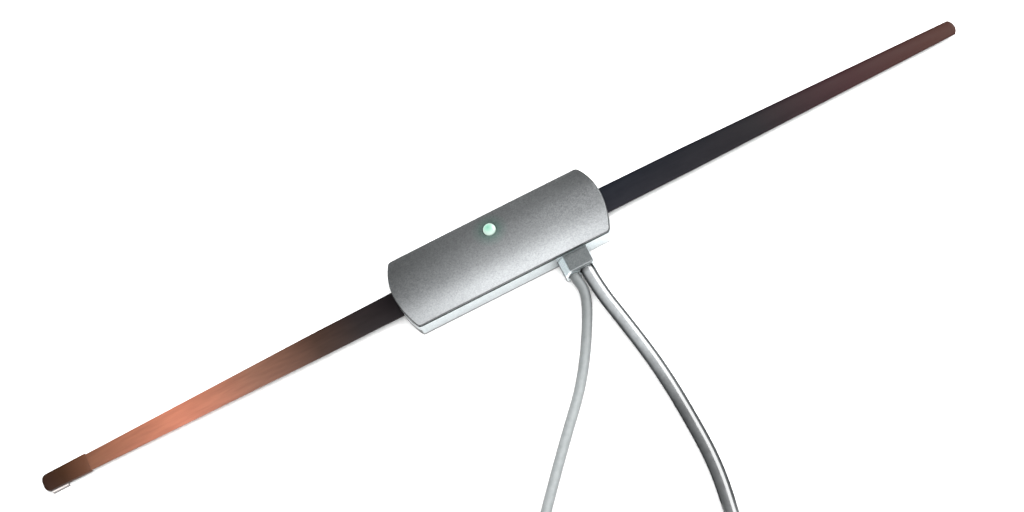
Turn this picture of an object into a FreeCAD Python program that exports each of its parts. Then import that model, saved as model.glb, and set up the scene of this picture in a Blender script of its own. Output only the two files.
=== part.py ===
# Amplified windscreen antenna for a car radio, in millimetres.
# The origin is the middle of the adhesive pad on the glass. +X runs along the blades, -Y is the
# side where the two leads come out, and +Z points away from the glass.
import FreeCAD, Part
import Sketcher
import math
import os
from types import SimpleNamespace

Vector = FreeCAD.Vector
Rotation = FreeCAD.Rotation

# Driving dimensions: name, value and what it is
SIZES = [
    ("overall_length", 370.0, "blade tip to blade tip"),
    ("housing_length", 83.0, "housing over its bulged ends"),
    ("housing_width", 27.5, "housing across"),
    ("end_bulge", 3.5, "how far each end wall bows out"),
    ("corner_radius", 1.8, "upright corners of the housing, outside"),
    ("inner_corner_radius", 0.8, "upright corners of everything that lies inside the outline"),
    ("pad_thickness", 1.0, "adhesive pad under the tray"),
    ("pad_inset", 0.3, "pad's edge inside the tray's edge"),
    ("base_height", 8.8, "tray, underside to rim"),
    ("base_wall", 1.8, "tray wall"),
    ("floor_thickness", 1.6, "tray floor"),
    ("seam_gap", 1.05, "height of the shadow groove under the cover"),
    ("seam_depth", 0.8, "depth of the shadow groove"),
    ("cover_wall", 2.6, "cover wall, with the lip behind the tray's wall"),
    ("cover_roof", 1.6, "cover roof"),
    ("skirt_height", 0.8, "upright edge of the cover along its sides"),
    ("crown_height", 3.0, "rise of the cover across its width"),
    ("crown_length_radius", 3000.0, "slow crown of the cover along its length"),
    ("lip_depth", 2.1, "lip of the cover inside the tray"),
    ("fit_clearance", 0.15, "play between pieces that slide into each other"),
    ("touch_clearance", 0.05, "play of screws and wires in their holes and on their faces"),
    ("blade_root_width", 10.2, "blade at the housing"),
    ("blade_shoulder_width", 9.8, "blade where its taper starts"),
    ("blade_shoulder_x", 75.0, "where the taper starts, from the middle"),
    ("blade_tip_width", 6.0, "blade at its tip"),
    ("blade_tip_bulge", 1.4, "rounding of the blade's tip"),
    ("blade_thickness", 0.8, "blade sheet"),
    ("blade_tail", 10.5, "blade inside the housing's end"),
    ("blade_bend", 2.5, "from the housing's end to the blade's bend"),
    ("blade_drop", 2.0, "fall of the blade from the bend to the tip"),
    ("blade_lift", 1.5, "blade above the tray's floor"),
    ("slot_clearance", 0.2, "play of a blade in its slot"),
    ("cap_length", 18.5, "sleeve on the left tip"),
    ("cap_inner_width", 7.6, "sleeve at its inner end"),
    ("cap_outer_width", 7.0, "sleeve at the tip"),
    ("cap_end_wall", 0.6, "sleeve wall beyond the blade's tip"),
    ("cap_roof", 0.5, "sleeve above the blade"),
    ("tip_pad_thickness", 1.5, "adhesive pad under the sleeve"),
    ("tip_pad_length", 6.5, "that pad along the blade"),
    ("tip_pad_inset", 2.2, "that pad from the sleeve's outer end"),
    ("tip_pad_front", 3.95, "that pad's front edge, from the blade's middle"),
    ("tip_pad_back", 3.0, "that pad's far edge, from the blade's middle"),
    ("board_end_gap", 2.7, "circuit board's ends, from the tray's end walls"),
    ("board_width", 18.0, "circuit board"),
    ("board_shift", 1.0, "board's middle towards the far side"),
    ("board_thickness", 1.6, "circuit board"),
    ("board_post_inset", 1.5, "posts under the board, from its long edges"),
    ("board_post_radius", 1.2, "posts under the board"),
    ("screw_radius", 1.25, "screw shank"),
    ("screw_head_radius", 2.3, "screw head"),
    ("screw_head_height", 1.7, "screw head"),
    ("head_recess", 1.9, "depth of the recess round a cover screw's head"),
    ("head_play", 0.2, "play round a cover screw's head"),
    ("cover_screw_inset", 21.5, "cover screws, from the housing's end"),
    ("cover_screw_length", 7.5, "cover screw under its head"),
    ("post_radius", 3.0, "screw posts"),
    ("post_height", 2.4, "tray's part of a cover post, above the floor"),
    ("post_play", 0.4, "play of a cover post in the board"),
    ("blade_screw_inset", 6.5, "blade screws, from the housing's end"),
    ("blade_screw_length", 4.4, "blade screw under its head"),
    ("blind_depth", 0.2, "hole beyond a screw's point"),
    ("led_radius", 2.5, "lamp body"),
    ("led_flange", 0.4, "lamp's rim beyond its body"),
    ("led_flange_height", 1.0, "lamp's rim"),
    ("led_y", 6.4, "lamp towards the far side"),
    ("led_protrusion", 0.8, "lamp's dome above the cover"),
    ("led_pin_radius", 0.3, "lamp's pins"),
    ("led_pin_spacing", 2.54, "between the lamp's pins"),
    ("led_pin_below", 1.0, "pins below the board"),
    ("aerial_lead_diameter", 5.2, "thick lead"),
    ("power_lead_diameter", 3.8, "thin lead"),
    ("aerial_lead_inset", 16.8, "thick lead's exit, from the housing's end"),
    ("lead_web", 0.4, "wall between the two leads' bores"),
    ("lead_inside", 1.05, "leads' jackets inside the tray's wall"),
    ("block_top_shift", 1.1, "middle of the lead block's top, from the thick lead"),
    ("block_top_width", 8.8, "lead block's top"),
    ("block_wall", 1.0, "lead block's side walls"),
    ("block_foot", 0.4, "lead block's right foot beyond its wall"),
    ("block_shoulder", 4.2, "upright part of the block's left wall"),
    ("block_reach", 6.9, "lead block in front of the tray's wall"),
    ("block_below_seam", 1.2, "lead block's top under the seam"),
    ("block_edge_radius", 0.6, "rounding of the block's mouth"),
    ("dielectric_radius", 1.5, "thick lead's inner insulation"),
    ("conductor_radius", 0.4, "thick lead's middle wire"),
    ("core_radius", 0.7, "thin lead's two wires"),
    ("core_spacing", 1.6, "between the thin lead's two wires"),
    ("wire_under_board", 4.0, "wires under the board's edge"),
    ("board_edge_gap", 0.3, "inner insulation before the board's edge"),
    ("transistor_radius", 2.4, "transistor"),
    ("transistor_height", 4.2, "transistor"),
    ("electrolytic_radius", 2.0, "electrolytic capacitor"),
    ("electrolytic_height", 4.2, "electrolytic capacitor"),
    ("ceramic_radius", 1.9, "ceramic disc capacitor"),
    ("ceramic_thickness", 1.5, "ceramic disc capacitor"),
    ("leg_radius", 0.25, "legs of the small components"),
    ("leg_height", 0.6, "ceramic discs above the board"),
    ("resistor_radius", 1.0, "resistor body"),
    ("resistor_length", 5.4, "resistor body"),
    ("resistor_lift", 1.2, "resistor's middle above the board"),
    ("resistor_reach", 3.6, "resistor's legs from its middle"),
    ("resistor_inset", 3.2, "resistors, from the board's long edges"),
    ("choke_radius", 2.6, "choke's flanges"),
    ("choke_neck_radius", 1.4, "choke's neck"),
    ("choke_height", 4.0, "choke"),
    ("choke_flange", 0.7, "choke's flange"),
    ("choke_winding_radius", 2.3, "choke's winding"),
    ("aerial_coil_x", 54.5, "middle of the thick lead's coil"),
    ("aerial_coil_y", -189.5, "middle of the thick lead's coil"),
    ("aerial_coil_radius", 28.5, "middle turn of that coil"),
    ("power_coil_x", -29.25, "middle of the thin lead's coil"),
    ("power_coil_y", -134.7, "middle of the thin lead's coil"),
    ("power_coil_radius", 21.0, "middle turn of that coil"),
    ("turn_gap", 0.1, "between two turns of a coil"),
    ("tie_thickness", 1.0, "strap round a coil"),
    ("tie_width", 4.0, "strap round a coil"),
    ("tie_play", 0.2, "between strap and coil"),
    ("grip_radius", 5.6, "plug's grip"),
    ("grip_neck_radius", 3.5, "grip's neck round the thick lead"),
    ("grip_neck_length", 8.0, "grip's neck"),
    ("grip_length", 26.0, "grip with its neck"),
    ("plug_axis_z", 5.7, "plug's middle above the glass plane"),
    ("plug_x", 124.0, "grip's rear end"),
    ("plug_y", -223.3, "plug's middle line"),
    ("barrel_radius", 4.6, "plug's barrel"),
    ("barrel_wall", 0.7, "plug's barrel"),
    ("barrel_length", 10.5, "plug's barrel in front of the grip"),
    ("barrel_slit", 0.6, "slits that let the barrel spring"),
    ("barrel_slit_length", 6.5, "slits that let the barrel spring"),
    ("insulator_length", 4.0, "disc between barrel and pin"),
    ("plug_pin_radius", 1.6, "plug's middle pin"),
    ("plug_pin_length", 19.5, "plug's middle pin in front of the grip"),
    ("sleeve_radius", 3.0, "terminal's sleeve"),
    ("sleeve_neck_radius", 2.4, "sleeve round the thin lead"),
    ("sleeve_length", 14.0, "terminal's sleeve"),
    ("terminal_axis_z", 3.1, "terminal's middle above the glass plane"),
    ("terminal_x", -54.1, "terminal's middle line"),
    ("terminal_y", -192.0, "sleeve's rear end"),
    ("terminal_radius", 2.0, "terminal's round pin"),
    ("terminal_length", 7.0, "terminal's round pin, straight part"),
    ("terminal_nose", 1.6, "terminal's rounded nose"),
    ("terminal_collar", 1.0, "collar between sleeve and pin"),
]

TURNS_WIDE = 3
TURNS_HIGH = 4
CROWN_SWEEP_DEGREES = 16.0
CUT_PAST = 1.0


class Size:
    """A length together with the expression that ties it to the sheet."""

    def __init__(self, value, text):
        self.value = value
        self.text = text

    def __add__(self, other):
        other = as_size(other)
        return Size(self.value + other.value, f"({self.text} + {other.text})")

    def __sub__(self, other):
        other = as_size(other)
        return Size(self.value - other.value, f"({self.text} - {other.text})")

    def __mul__(self, other):
        other = as_size(other)
        return Size(self.value * other.value, f"({self.text} * {other.text})")

    def __truediv__(self, other):
        other = as_size(other)
        return Size(self.value / other.value, f"({self.text} / {other.text})")

    def __radd__(self, other):
        return as_size(other) + self

    def __rsub__(self, other):
        return as_size(other) - self

    def __rmul__(self, other):
        return as_size(other) * self

    def __neg__(self):
        return Size(-self.value, f"(0 - {self.text})")


def as_size(number):
    if isinstance(number, Size):
        return number
    return Size(float(number), f"({float(number)})")


def root(size):
    return Size(math.sqrt(size.value), f"sqrt({size.text})")


doc = FreeCAD.newDocument("car_radio_antenna")
sheet = doc.addObject("Spreadsheet::Sheet", "dims")
for row, (alias, value, meaning) in enumerate(SIZES, 1):
    sheet.set(f"A{row}", meaning)
    sheet.set(f"B{row}", str(value))
    sheet.setAlias(f"B{row}", alias)
doc.recompute()
d = SimpleNamespace(**{alias: Size(value, f"dims.{alias}") for alias, value, meaning in SIZES})
parts = {}

# Levels and places that follow from the driving dimensions
floor_z = d.pad_thickness + d.floor_thickness
seam_z = d.pad_thickness + d.base_height
skirt_z = seam_z + d.skirt_height
crest_z = skirt_z + d.crown_height
blade_z = floor_z + d.blade_lift
board_z = blade_z + d.blade_thickness
board_top_z = board_z + d.board_thickness
post_joint_z = floor_z + d.post_height
block_top_z = seam_z - d.block_below_seam
half_length = d.housing_length / 2
half_width = d.housing_width / 2
blade_screw_x = half_length - d.blade_screw_inset
cover_screw_x = half_length - d.cover_screw_inset
between_screws_x = (blade_screw_x + cover_screw_x) / 2
board_half = half_length - d.base_wall - d.board_end_gap
board_front_y = d.board_shift - d.board_width / 2
board_far_y = d.board_shift + d.board_width / 2
inner_wall_y = half_width - d.base_wall
block_front_y = half_width + d.block_reach
crown_radius = (half_width * half_width + d.crown_height * d.crown_height) / (2 * d.crown_height)
end_radius = (half_width * half_width + d.end_bulge * d.end_bulge) / (2 * d.end_bulge)
end_centre_x = half_length - end_radius
aerial_radius = d.aerial_lead_diameter / 2
power_radius = d.power_lead_diameter / 2
aerial_bore = aerial_radius + d.fit_clearance
power_bore = power_radius + d.fit_clearance
aerial_z = board_z - d.conductor_radius - d.touch_clearance
power_z = board_z - d.core_radius - d.touch_clearance
aerial_x = half_length - d.aerial_lead_inset
power_x = aerial_x - aerial_bore - power_bore - d.lead_web
jacket_end_y = -inner_wall_y + d.lead_inside


def bind(item, prop, size):
    item.setExpression(prop, as_size(size).text)


def place(item, x, y, z, rotation=None):
    if rotation is not None:
        item.Placement = FreeCAD.Placement(Vector(0, 0, 0), rotation)
    bind(item, "Placement.Base.x", x)
    bind(item, "Placement.Base.y", y)
    bind(item, "Placement.Base.z", z)
    return item


def new_body(name):
    return doc.addObject("PartDesign::Body", name)


def new_sketch(body, role, offset=None):
    sketch = body.newObject("Sketcher::SketchObject", body.Name + "_sketch")
    plane = [feature for feature in body.Origin.OriginFeatures if feature.Role == role][0]
    sketch.AttachmentSupport = [(plane, "")]
    sketch.MapMode = "FlatFace"
    if offset is not None:
        bind(sketch, "AttachmentOffset.Base.z", offset)
    return sketch


def constrain(sketch, size, *constraint):
    index = sketch.addConstraint(Sketcher.Constraint(*constraint, size.value))
    sketch.setExpression(f"Constraints[{index}]", size.text)


def fix_point(sketch, edge, end, x, y):
    constrain(sketch, as_size(x), "DistanceX", -1, 1, edge, end)
    constrain(sketch, as_size(y), "DistanceY", -1, 1, edge, end)


def arc_between(here, there, radius, turn):
    """An arc that turns left (turn 1) or right (turn -1) on its way, by less than half a circle."""
    chord = there - here
    height = math.sqrt(max(radius * radius - chord.Length * chord.Length / 4, 0.0))
    left = Vector(-chord.y, chord.x, 0).normalize()
    centre = (here + there) * 0.5 + left * (height * turn)
    first, last = (here, there) if turn > 0 else (there, here)
    angles = [math.atan2(spot.y - centre.y, spot.x - centre.x) for spot in (first, last)]
    return Part.ArcOfCircle(Part.Circle(centre, Vector(0, 0, 1), radius), *angles)


def draw(sketch, start, steps):
    """A closed outline: each step is (x, y) for a line, or (x, y, radius, turn) for an arc."""
    corners = [tuple(as_size(value) for value in start)]
    corners += [tuple(as_size(value) for value in step[:2]) for step in steps]
    spots = [Vector(x.value, y.value, 0) for x, y in corners]
    edges = []
    for index, step in enumerate(steps):
        here, there = spots[index], spots[index + 1]
        if len(step) == 2:
            edge = sketch.addGeometry(Part.LineSegment(here, there), False)
            edges.append((edge, 1, 2))
        else:
            radius, turn = as_size(step[2]), step[3]
            edge = sketch.addGeometry(arc_between(here, there, radius.value, turn), False)
            edges.append((edge, 1, 2) if turn > 0 else (edge, 2, 1))
    for index, (edge, first, last) in enumerate(edges):
        follower, follower_first, _ = edges[(index + 1) % len(edges)]
        sketch.addConstraint(Sketcher.Constraint("Coincident", edge, last, follower, follower_first))
        fix_point(sketch, edge, first, *corners[index])
        if len(steps[index]) == 4:
            constrain(sketch, as_size(steps[index][2]), "Radius", edge)


def draw_circle(sketch, x, y, radius):
    x, y, radius = as_size(x), as_size(y), as_size(radius)
    circle = Part.Circle(Vector(x.value, y.value, 0), Vector(0, 0, 1), radius.value)
    edge = sketch.addGeometry(circle, False)
    fix_point(sketch, edge, 3, x, y)
    constrain(sketch, radius, "Radius", edge)


def draw_housing(sketch, inset, corner):
    """The housing's plan, moved in by inset: straight sides, bowed ends and rounded corners."""
    side_y = half_width - inset
    bow = end_radius - inset
    run_x = end_centre_x + root((bow - corner) * (bow - corner) - (side_y - corner) * (side_y - corner))
    share = bow / (bow - corner)
    bow_x = end_centre_x + (run_x - end_centre_x) * share
    bow_y = (side_y - corner) * share
    steps = [
        (run_x, -side_y),
        (bow_x, -bow_y, corner, 1),
        (bow_x, bow_y, bow, 1),
        (run_x, side_y, corner, 1),
        (-run_x, side_y),
        (-bow_x, bow_y, corner, 1),
        (-bow_x, -bow_y, bow, 1),
        (-run_x, -side_y, corner, 1),
    ]
    draw(sketch, (-run_x, -side_y), steps)


def pad(body, sketch, length, middle=False, reverse=False):
    feature = body.newObject("PartDesign::Pad", body.Name + "_pad")
    feature.Profile = sketch
    feature.Midplane = middle
    feature.Reversed = reverse
    bind(feature, "Length", length)
    return feature


def pocket(body, sketch, length, middle=False, reverse=False):
    feature = body.newObject("PartDesign::Pocket", body.Name + "_pocket")
    feature.Profile = sketch
    feature.Midplane = middle
    feature.Reversed = reverse
    bind(feature, "Length", length)
    return feature


def housing_prism(name, inset, corner, bottom, height):
    body = new_body(name)
    sketch = new_sketch(body, "XY_Plane", bottom)
    draw_housing(sketch, inset, corner)
    pad(body, sketch, height)
    return body


def crowned_prism(name, inset, corner, bottom, sunk):
    """A housing-shaped block with a crowned top that lies sunk below the cover's own crown."""
    body = housing_prism(name, inset, corner, bottom, crest_z - bottom + CUT_PAST)
    sketch = new_sketch(body, "YZ_Plane")
    across = crown_radius - sunk
    centre_z = crest_z - crown_radius
    side_y = half_width + CUT_PAST
    side_z = centre_z + root(across * across - side_y * side_y)
    above_z = crest_z + 2 * CUT_PAST
    steps = [
        (side_y, side_z, across, -1),
        (side_y, above_z),
        (-side_y, above_z),
        (-side_y, side_z),
    ]
    draw(sketch, (-side_y, side_z), steps)
    axis_z = crest_z - d.crown_length_radius
    ends = [Vector(-side_y.value, axis_z.value, 0), Vector(side_y.value, axis_z.value, 0)]
    axis = sketch.addGeometry(Part.LineSegment(*ends), True)
    fix_point(sketch, axis, 1, -side_y, axis_z)
    fix_point(sketch, axis, 2, side_y, axis_z)
    crown = body.newObject("PartDesign::Groove", name + "_crown")
    crown.Profile = sketch
    crown.ReferenceAxis = (sketch, ["Axis0"])
    crown.Midplane = True
    crown.Angle = CROWN_SWEEP_DEGREES
    return body


def round_edges(body, wanted, radius):
    doc.recompute()
    base = body.Tip
    names = [f"Edge{n}" for n, edge in enumerate(base.Shape.Edges, 1) if wanted(edge)]
    feature = body.newObject("PartDesign::Fillet", body.Name + "_fillet")
    feature.Base = (base, names)
    bind(feature, "Radius", radius)
    return feature


def cylinder(name, radius, height, x, y, z, rotation=None):
    item = doc.addObject("Part::Cylinder", name)
    bind(item, "Radius", radius)
    bind(item, "Height", height)
    return place(item, x, y, z, rotation)


def box(name, lengths, x, y, z):
    item = doc.addObject("Part::Box", name)
    for prop, length in zip(("Length", "Width", "Height"), lengths):
        bind(item, prop, length)
    return place(item, x, y, z)


def cut(name, base, tool):
    item = doc.addObject("Part::Cut", name)
    item.Base = base
    item.Tool = tool
    return item


def joined(name, items):
    item = doc.addObject("Part::MultiFuse", name)
    item.Shapes = items
    return item


def shared(name, items):
    item = doc.addObject("Part::MultiCommon", name)
    item.Shapes = items
    return item


def group(name, items):
    item = doc.addObject("Part::Compound", name)
    item.Links = items
    return item


def turned(name, start, steps):
    """A turned piece: its half section, radius by height, goes round the body's own Z axis."""
    body = new_body(name)
    sketch = new_sketch(body, "XZ_Plane")
    draw(sketch, start, steps)
    feature = body.newObject("PartDesign::Revolution", name + "_turn")
    feature.Profile = sketch
    feature.ReferenceAxis = (sketch, ["V_Axis"])
    feature.Angle = 360.0
    return body


def keep(node, item):
    item.Label = node
    parts[node] = item
    return item


# Turning a piece's own +Z towards another direction
TO_PLUS_X = Rotation(Vector(0, 1, 0), 90)
TO_MINUS_Y = Rotation(Vector(1, 0, 0), 90)
TO_PLUS_Y = Rotation(Vector(1, 0, 0), -90)
UPSIDE_DOWN = Rotation(Vector(1, 0, 0), 180)
BOTH_SIDES = (-1, 1)


def make_base_tray():
    body = new_body("base_tray_body")
    outline = new_sketch(body, "XY_Plane", d.pad_thickness)
    draw_housing(outline, as_size(0), d.corner_radius)
    pad(body, outline, d.base_height - d.seam_gap)
    rim = new_sketch(body, "XY_Plane", d.pad_thickness)
    draw_housing(rim, d.seam_depth, d.inner_corner_radius)
    pad(body, rim, d.base_height)
    hollow = new_sketch(body, "XY_Plane", seam_z)
    draw_housing(hollow, d.base_wall, d.inner_corner_radius)
    pocket(body, hollow, d.base_height - d.floor_thickness)
    make_lead_block(body)
    make_blade_slots(body)
    make_tray_posts(body)
    keep("base_tray", body)


def make_lead_block(body):
    """The block on the front wall, wide at its foot for two leads side by side."""
    left_x = power_x - power_bore - d.block_wall
    right_x = aerial_x + aerial_bore + d.block_wall + d.block_foot
    top_left_x = aerial_x - d.block_top_shift - d.block_top_width / 2
    top_right_x = aerial_x - d.block_top_shift + d.block_top_width / 2
    shoulder_z = d.pad_thickness + d.block_shoulder
    sketch = new_sketch(body, "XZ_Plane", inner_wall_y)
    steps = [
        (right_x, d.pad_thickness),
        (top_right_x, block_top_z),
        (top_left_x, block_top_z),
        (left_x, shoulder_z),
        (left_x, d.pad_thickness),
    ]
    draw(sketch, (left_x, d.pad_thickness), steps)
    pad(body, sketch, d.base_wall + d.block_reach)
    front = -block_front_y.value

    def on_mouth(edge):
        return abs(edge.BoundBox.YMin - front) < 1e-4 and abs(edge.BoundBox.YMax - front) < 1e-4

    round_edges(body, on_mouth, d.block_edge_radius)
    bores = new_sketch(body, "XZ_Plane", block_front_y)
    draw_circle(bores, aerial_x, aerial_z, aerial_bore)
    draw_circle(bores, power_x, power_z, power_bore)
    pocket(body, bores, d.block_reach + d.base_wall + d.lead_inside + d.fit_clearance)


def make_blade_slots(body):
    sketch = new_sketch(body, "YZ_Plane")
    slot_y = d.blade_root_width / 2 + d.slot_clearance
    low_z = blade_z - d.slot_clearance
    high_z = board_z + d.slot_clearance
    draw(sketch, (-slot_y, low_z), [(slot_y, low_z), (slot_y, high_z), (-slot_y, high_z), (-slot_y, low_z)])
    pocket(body, sketch, d.housing_length + 2 * CUT_PAST, middle=True)


def make_tray_posts(body):
    cover_posts = new_sketch(body, "XY_Plane", floor_z)
    blade_posts = new_sketch(body, "XY_Plane", floor_z)
    board_posts = new_sketch(body, "XY_Plane", floor_z)
    for side in BOTH_SIDES:
        draw_circle(cover_posts, side * cover_screw_x, 0, d.post_radius)
        draw_circle(blade_posts, side * blade_screw_x, 0, d.post_radius)
        for y in (board_front_y + d.board_post_inset, board_far_y - d.board_post_inset):
            draw_circle(board_posts, side * between_screws_x, y, d.board_post_radius)
    pad(body, cover_posts, d.post_height)
    pad(body, blade_posts, d.blade_lift)
    pad(body, board_posts, board_z - floor_z)
    recesses = new_sketch(body, "XY_Plane", d.pad_thickness)
    clearances = new_sketch(body, "XY_Plane", d.pad_thickness)
    pilots = new_sketch(body, "XY_Plane", blade_z)
    for side in BOTH_SIDES:
        draw_circle(recesses, side * cover_screw_x, 0, d.screw_head_radius + d.head_play)
        draw_circle(clearances, side * cover_screw_x, 0, d.screw_radius + d.fit_clearance)
        draw_circle(pilots, side * blade_screw_x, 0, d.screw_radius + d.touch_clearance)
    pocket(body, recesses, d.head_recess, reverse=True)
    pocket(body, clearances, post_joint_z - d.pad_thickness + CUT_PAST, reverse=True)
    grip_depth = d.blade_screw_length - d.board_thickness - d.blade_thickness
    pocket(body, pilots, grip_depth + d.blind_depth)


def make_top_cover():
    blank = crowned_prism("cover_blank", as_size(0), d.corner_radius, seam_z, as_size(0))
    low = seam_z.value + d.skirt_height.value / 4
    round_edges(blank, lambda edge: edge.BoundBox.ZMin > low, d.skirt_height / 2)
    hollow = crowned_prism(
        "cover_hollow", d.cover_wall, d.inner_corner_radius, seam_z - CUT_PAST, d.cover_roof
    )
    shell = cut("cover_shell", blank, hollow)
    lip_low_z = seam_z - d.lip_depth
    lip_outside = housing_prism(
        "lip_outside",
        d.base_wall + d.fit_clearance,
        d.inner_corner_radius,
        lip_low_z,
        d.lip_depth + d.skirt_height / 2,
    )
    lip_inside = housing_prism(
        "lip_inside",
        d.cover_wall,
        d.inner_corner_radius,
        lip_low_z - CUT_PAST,
        d.lip_depth + d.skirt_height + 2 * CUT_PAST,
    )
    pieces = [shell, cut("cover_lip", lip_outside, lip_inside)]
    holes = [cylinder("led_hole", d.led_radius + d.fit_clearance, crest_z, 0, d.led_y, seam_z)]
    shank_in_cover = d.pad_thickness + d.head_recess + d.cover_screw_length - post_joint_z
    for side in BOTH_SIDES:
        spot = (side * cover_screw_x, 0, post_joint_z)
        post_top_z = crest_z - d.cover_roof / 2
        pieces.append(cylinder("cover_post", d.post_radius, post_top_z - post_joint_z, *spot))
        pilot = d.screw_radius + d.touch_clearance
        holes.append(cylinder("cover_pilot", pilot, shank_in_cover + d.blind_depth, *spot))
    keep("top_cover", cut("cover", joined("cover_solid", pieces), joined("cover_holes", holes)))


def make_mounting_pad():
    outline = (d.pad_inset, d.inner_corner_radius, as_size(0), d.pad_thickness)
    keep("mounting_pad", housing_prism("pad_body", *outline))


def blade_solid(name, side, tip_x, grown):
    """Blade in its tapered plan, bent down outside the housing; grown makes room for it in a sleeve."""
    inner_x = half_length - d.blade_tail
    bend_x = half_length + d.blade_bend
    root_y = d.blade_root_width / 2 + grown
    shoulder_y = d.blade_shoulder_width / 2 + grown
    tip_y = d.blade_tip_width / 2 + grown
    end_x = tip_x + grown
    side_x = end_x - d.blade_tip_bulge
    round_radius = (tip_y * tip_y + d.blade_tip_bulge * d.blade_tip_bulge) / (2 * d.blade_tip_bulge)
    plan = new_body(name + "_plan")
    outline = new_sketch(plan, "XY_Plane")
    steps = [
        (side * half_length, -root_y),
        (side * d.blade_shoulder_x, -shoulder_y),
        (side * side_x, -tip_y),
        (side * side_x, tip_y, round_radius, side),
        (side * d.blade_shoulder_x, shoulder_y),
        (side * half_length, root_y),
        (side * inner_x, root_y),
        (side * inner_x, -root_y),
    ]
    draw(outline, (side * inner_x, -root_y), steps)
    pad(plan, outline, crest_z)
    profile = new_body(name + "_profile")
    section = new_sketch(profile, "XZ_Plane")
    low_z = blade_z - grown
    high_z = board_z + grown
    steps = [
        (side * bend_x, low_z),
        (side * end_x, low_z - d.blade_drop),
        (side * end_x, high_z - d.blade_drop),
        (side * bend_x, high_z),
        (side * inner_x, high_z),
        (side * inner_x, low_z),
    ]
    draw(section, (side * inner_x, low_z), steps)
    pad(profile, section, 2 * root_y + 2 * CUT_PAST, middle=True)
    return shared(name + "_blank", [plan, profile])


def make_blades():
    half = d.overall_length / 2
    covered = half - d.cap_end_wall - d.fit_clearance
    for node, side, tip_x in (("left_blade", -1, covered), ("right_blade", 1, half)):
        blank = blade_solid(node, side, tip_x, as_size(0))
        hole_radius = d.screw_radius + d.fit_clearance
        hole = cylinder(node + "_hole", hole_radius, crest_z, side * blade_screw_x, 0, 0)
        keep(node, cut(node + "_cut", blank, hole))


def make_left_tip():
    half = d.overall_length / 2
    inner_x = half - d.cap_length
    outer_x = half - d.blade_tip_bulge
    tip_y = d.cap_outer_width / 2
    round_radius = (tip_y * tip_y + d.blade_tip_bulge * d.blade_tip_bulge) / (2 * d.blade_tip_bulge)
    body = new_body("cap_blank")
    outline = new_sketch(body, "XY_Plane", d.tip_pad_thickness)
    steps = [
        (-inner_x, d.cap_inner_width / 2),
        (-outer_x, tip_y),
        (-outer_x, -tip_y, round_radius, 1),
        (-inner_x, -d.cap_inner_width / 2),
    ]
    draw(outline, (-inner_x, -d.cap_inner_width / 2), steps)
    fall_share = (inner_x - half_length - d.blade_bend) / (half - half_length - d.blade_bend)
    cap_top_z = board_z - d.blade_drop * fall_share + d.fit_clearance + d.cap_roof
    pad(body, outline, cap_top_z - d.tip_pad_thickness)
    covered = half - d.cap_end_wall - d.fit_clearance
    room = blade_solid("cap_room", -1, covered, d.fit_clearance)
    keep("left_tip_cap", cut("cap", body, room))
    depth = d.tip_pad_front + d.tip_pad_back
    lengths = (d.tip_pad_length, depth, d.tip_pad_thickness)
    keep("left_tip_pad", box("tip_pad", lengths, -half + d.tip_pad_inset, -d.tip_pad_front, 0))


def make_board():
    lengths = (2 * board_half, d.board_width, d.board_thickness)
    blank = box("board_blank", lengths, -board_half, board_front_y, board_z)
    holes = []
    for side in BOTH_SIDES:
        post_hole = d.post_radius + d.post_play
        screw_hole = d.screw_radius + d.fit_clearance
        pin_hole = d.led_pin_radius + d.fit_clearance
        holes.append(cylinder("board_post_hole", post_hole, crest_z, side * cover_screw_x, 0, 0))
        holes.append(cylinder("board_screw_hole", screw_hole, crest_z, side * blade_screw_x, 0, 0))
        pin_x = side * d.led_pin_spacing / 2
        holes.append(cylinder("board_pin_hole", pin_hole, crest_z, pin_x, d.led_y, 0))
    keep("circuit_board", cut("board", blank, joined("board_holes", holes)))


def make_screw(name, length):
    """Pan-head screw: its head stands on z = 0 and its shank points down."""
    head, shank, height = d.screw_head_radius, d.screw_radius, d.screw_head_height
    steps = [
        (0.6 * shank, -length),
        (shank, 0.5 * shank - length),
        (shank, 0),
        (head, 0),
        (head, 0.5 * height),
        (0.7 * head, height),
        (0, height),
        (0, -length),
    ]
    return turned(name, (0, -length), steps)


def make_screws():
    blade_screws = []
    cover_screws = []
    shoulder_z = d.pad_thickness + d.head_recess
    for side in BOTH_SIDES:
        screw = make_screw("blade_screw", d.blade_screw_length)
        blade_screws.append(place(screw, side * blade_screw_x, 0, board_top_z))
        screw = make_screw("cover_screw", d.cover_screw_length)
        cover_screws.append(place(screw, side * cover_screw_x, 0, shoulder_z, UPSIDE_DOWN))
    keep("blade_screws", group("blade_screw_pair", blade_screws))
    keep("cover_screws", group("cover_screw_pair", cover_screws))


def make_led():
    rim = d.led_radius + d.led_flange
    cover_z = crest_z - crown_radius + root(crown_radius * crown_radius - d.led_y * d.led_y)
    height = cover_z + d.led_protrusion - board_top_z
    steps = [
        (rim, 0),
        (rim, d.led_flange_height),
        (d.led_radius, d.led_flange_height),
        (d.led_radius, height - d.led_radius),
        (0, height, d.led_radius, 1),
        (0, 0),
    ]
    keep("status_led", place(turned("led", (0, 0), steps), 0, d.led_y, board_top_z))
    pin_length = d.board_thickness + d.led_pin_below
    low_z = board_z - d.led_pin_below
    pins = []
    for side in BOTH_SIDES:
        pin_x = side * d.led_pin_spacing / 2
        pins.append(cylinder("led_pin", d.led_pin_radius, pin_length, pin_x, d.led_y, low_z))
    keep("led_pins", group("led_pin_pair", pins))


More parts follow.
